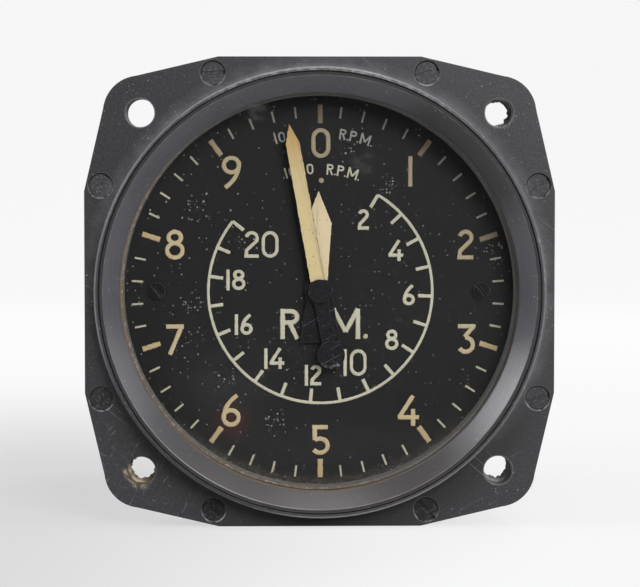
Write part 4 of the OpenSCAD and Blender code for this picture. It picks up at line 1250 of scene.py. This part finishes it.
inner_figures = upright(
    INNER_STANDS, THOUSAND, INNER_NUDGES, INNER_HEIGHT, INNER_TALLER, INNER_STROKE, INNER_GAP)
printed("inner_arc", moved([sweep_line], *INNER_OFF), ARC_STROKE, inner_paint)
printed("inner_ticks", moved(ticks, *INNER_OFF), TICK_STROKE, inner_paint)
printed("inner_figures", moved(inner_figures, *INNER_OFF), INNER_STROKE, inner_paint)
print("inner scale:", len(ticks), "ticks")

# %% Unit legends
UNIT_HEIGHT = 5.4
UNIT_STROKE = 0.88
UNIT_BASE = -5.95
UNIT_LETTERS = [("R", -5.25), (".", -2.95), ("P", -0.75), (".", 1.45), ("M", 4.68), (".", 8.25)]
LEGEND_HEIGHT = 1.9
LEGEND_STROKE = 0.33
LEGENDS = {
    "hundreds_legend": (legend_paint, [("100", 28.1, -12.8, 0.2), ("R.P.M.", 28.1, 13.6, 0.09)]),
    "thousands_legend": (inner_paint, [("1000", 21.7, -9.5, 0.2), ("R.P.M.", 21.65, 11.6, 0.09)]),
}
unit = []
for letter, across in UNIT_LETTERS:
    unit += moved(written(letter, UNIT_HEIGHT, UNIT_STROKE), across, UNIT_BASE)
printed("unit_letters", unit, UNIT_STROKE, inner_paint)
for name, (paint, lines) in LEGENDS.items():
    legend = [curved(words, LEGEND_HEIGHT, LEGEND_STROKE, *place) for words, *place in lines]
    printed(name, sum(legend, []), LEGEND_STROKE, paint)
print("legends:", ", ".join(LEGENDS))

# %% [markdown]
# Both pointers are thin blades, blackened all over, and the ends that read on the scale carry a thick coat of
# the same luminous paint. The coat is a separate film on the front of the blade: its outline is cut, its
# edges are divided and shaken a little, because the paint crept and crumbled there, and it is given a
# thickness.


# %% Paint on the pointers
CREEP = 0.06 * MM
COAT = 0.10 * MM
WEIGHT_RISE = 0.5 * MM
LONG_TURN = math.radians(10.3)
SHORT_TURN = math.radians(0.44)


def coat(node, front, outline, turn, finish, seed):
    """A film on the front face of a pointer; outline is in millimetres with the pointer upright."""
    shake = random.Random(seed)
    bm = bmesh.new()
    face = bm.faces.new([bm.verts.new((x * MM, 0.0, y * MM)) for x, y in outline])
    bmesh.ops.subdivide_edges(bm, edges=face.edges[:], cuts=60)
    for vert in bm.verts:
        vert.co += Vector((shake.uniform(-1, 1), 0.0, shake.uniform(-1, 1))) * CREEP
    bmesh.ops.recalc_face_normals(bm, faces=bm.faces)
    raised = bmesh.ops.extrude_face_region(bm, geom=bm.faces[:])["geom"]
    bmesh.ops.translate(bm, verts=only(BMVert, raised), vec=(0, -COAT, 0))
    bmesh.ops.recalc_face_normals(bm, faces=bm.faces)
    if bm.calc_volume(signed=True) < 0:
        bmesh.ops.reverse_faces(bm, faces=bm.faces)
    bmesh.ops.rotate(bm, verts=bm.verts, cent=(0, 0, 0), matrix=Matrix.Rotation(-turn, 3, "Y"))
    bmesh.ops.translate(bm, verts=bm.verts, vec=(0, front, 0))
    ride_with(as_piece(node + "_coat", bm, finish, smooth=False), node)


def pointer_coat(name, fresh, tip, turn, tip_from, tip_to):
    """Cream paint that darkens to orange towards the pointer's tip."""
    finish = Finish(name)
    along = finish.towards(-math.sin(turn), math.cos(turn)) / MM
    blotches = finish.noise(260.0, 4.0)
    pits = finish.specks(1800.0, 0.35, 0.14)
    body = finish.mix(blotches, tuple(c * 0.88 for c in fresh), tuple(c * 1.10 for c in fresh))
    aged = finish.mix((along + (blotches - 0.5) * 6.0).between(tip_from, tip_to), body, tip)
    colour = finish.mix(pits * 0.4, aged, (0.12, 0.08, 0.04))
    return finish.surface(colour, blotches.around(0.7, 0.25), finish.bump(blotches, 0.35))


long_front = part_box("long_pointer")[0].y + WEIGHT_RISE
short_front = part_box("short_pointer")[0].y
long_outline = [(-1.28, 1.9), (1.28, 1.9), (1.22, 26.6), (0.0, 30.0), (-1.22, 26.6)]
short_outline = [(-1.46, 1.9), (1.46, 1.9), (2.26, 12.0), (0.0, 17.8), (-2.26, 12.0)]
long_cream = pointer_coat("long_cream", (0.61, 0.49, 0.255), (0.51, 0.32, 0.12), LONG_TURN, 19.0, 30.0)
short_cream = pointer_coat("short_cream", (0.73, 0.60, 0.375), (0.69, 0.56, 0.34), SHORT_TURN, 10.0, 18.0)
coat("long_pointer", long_front, long_outline, LONG_TURN, long_cream, 3)
coat("short_pointer", short_front, short_outline, SHORT_TURN, short_cream, 5)
print("coats on the pointers", COAT / MM, "mm thick")

# %% [markdown]
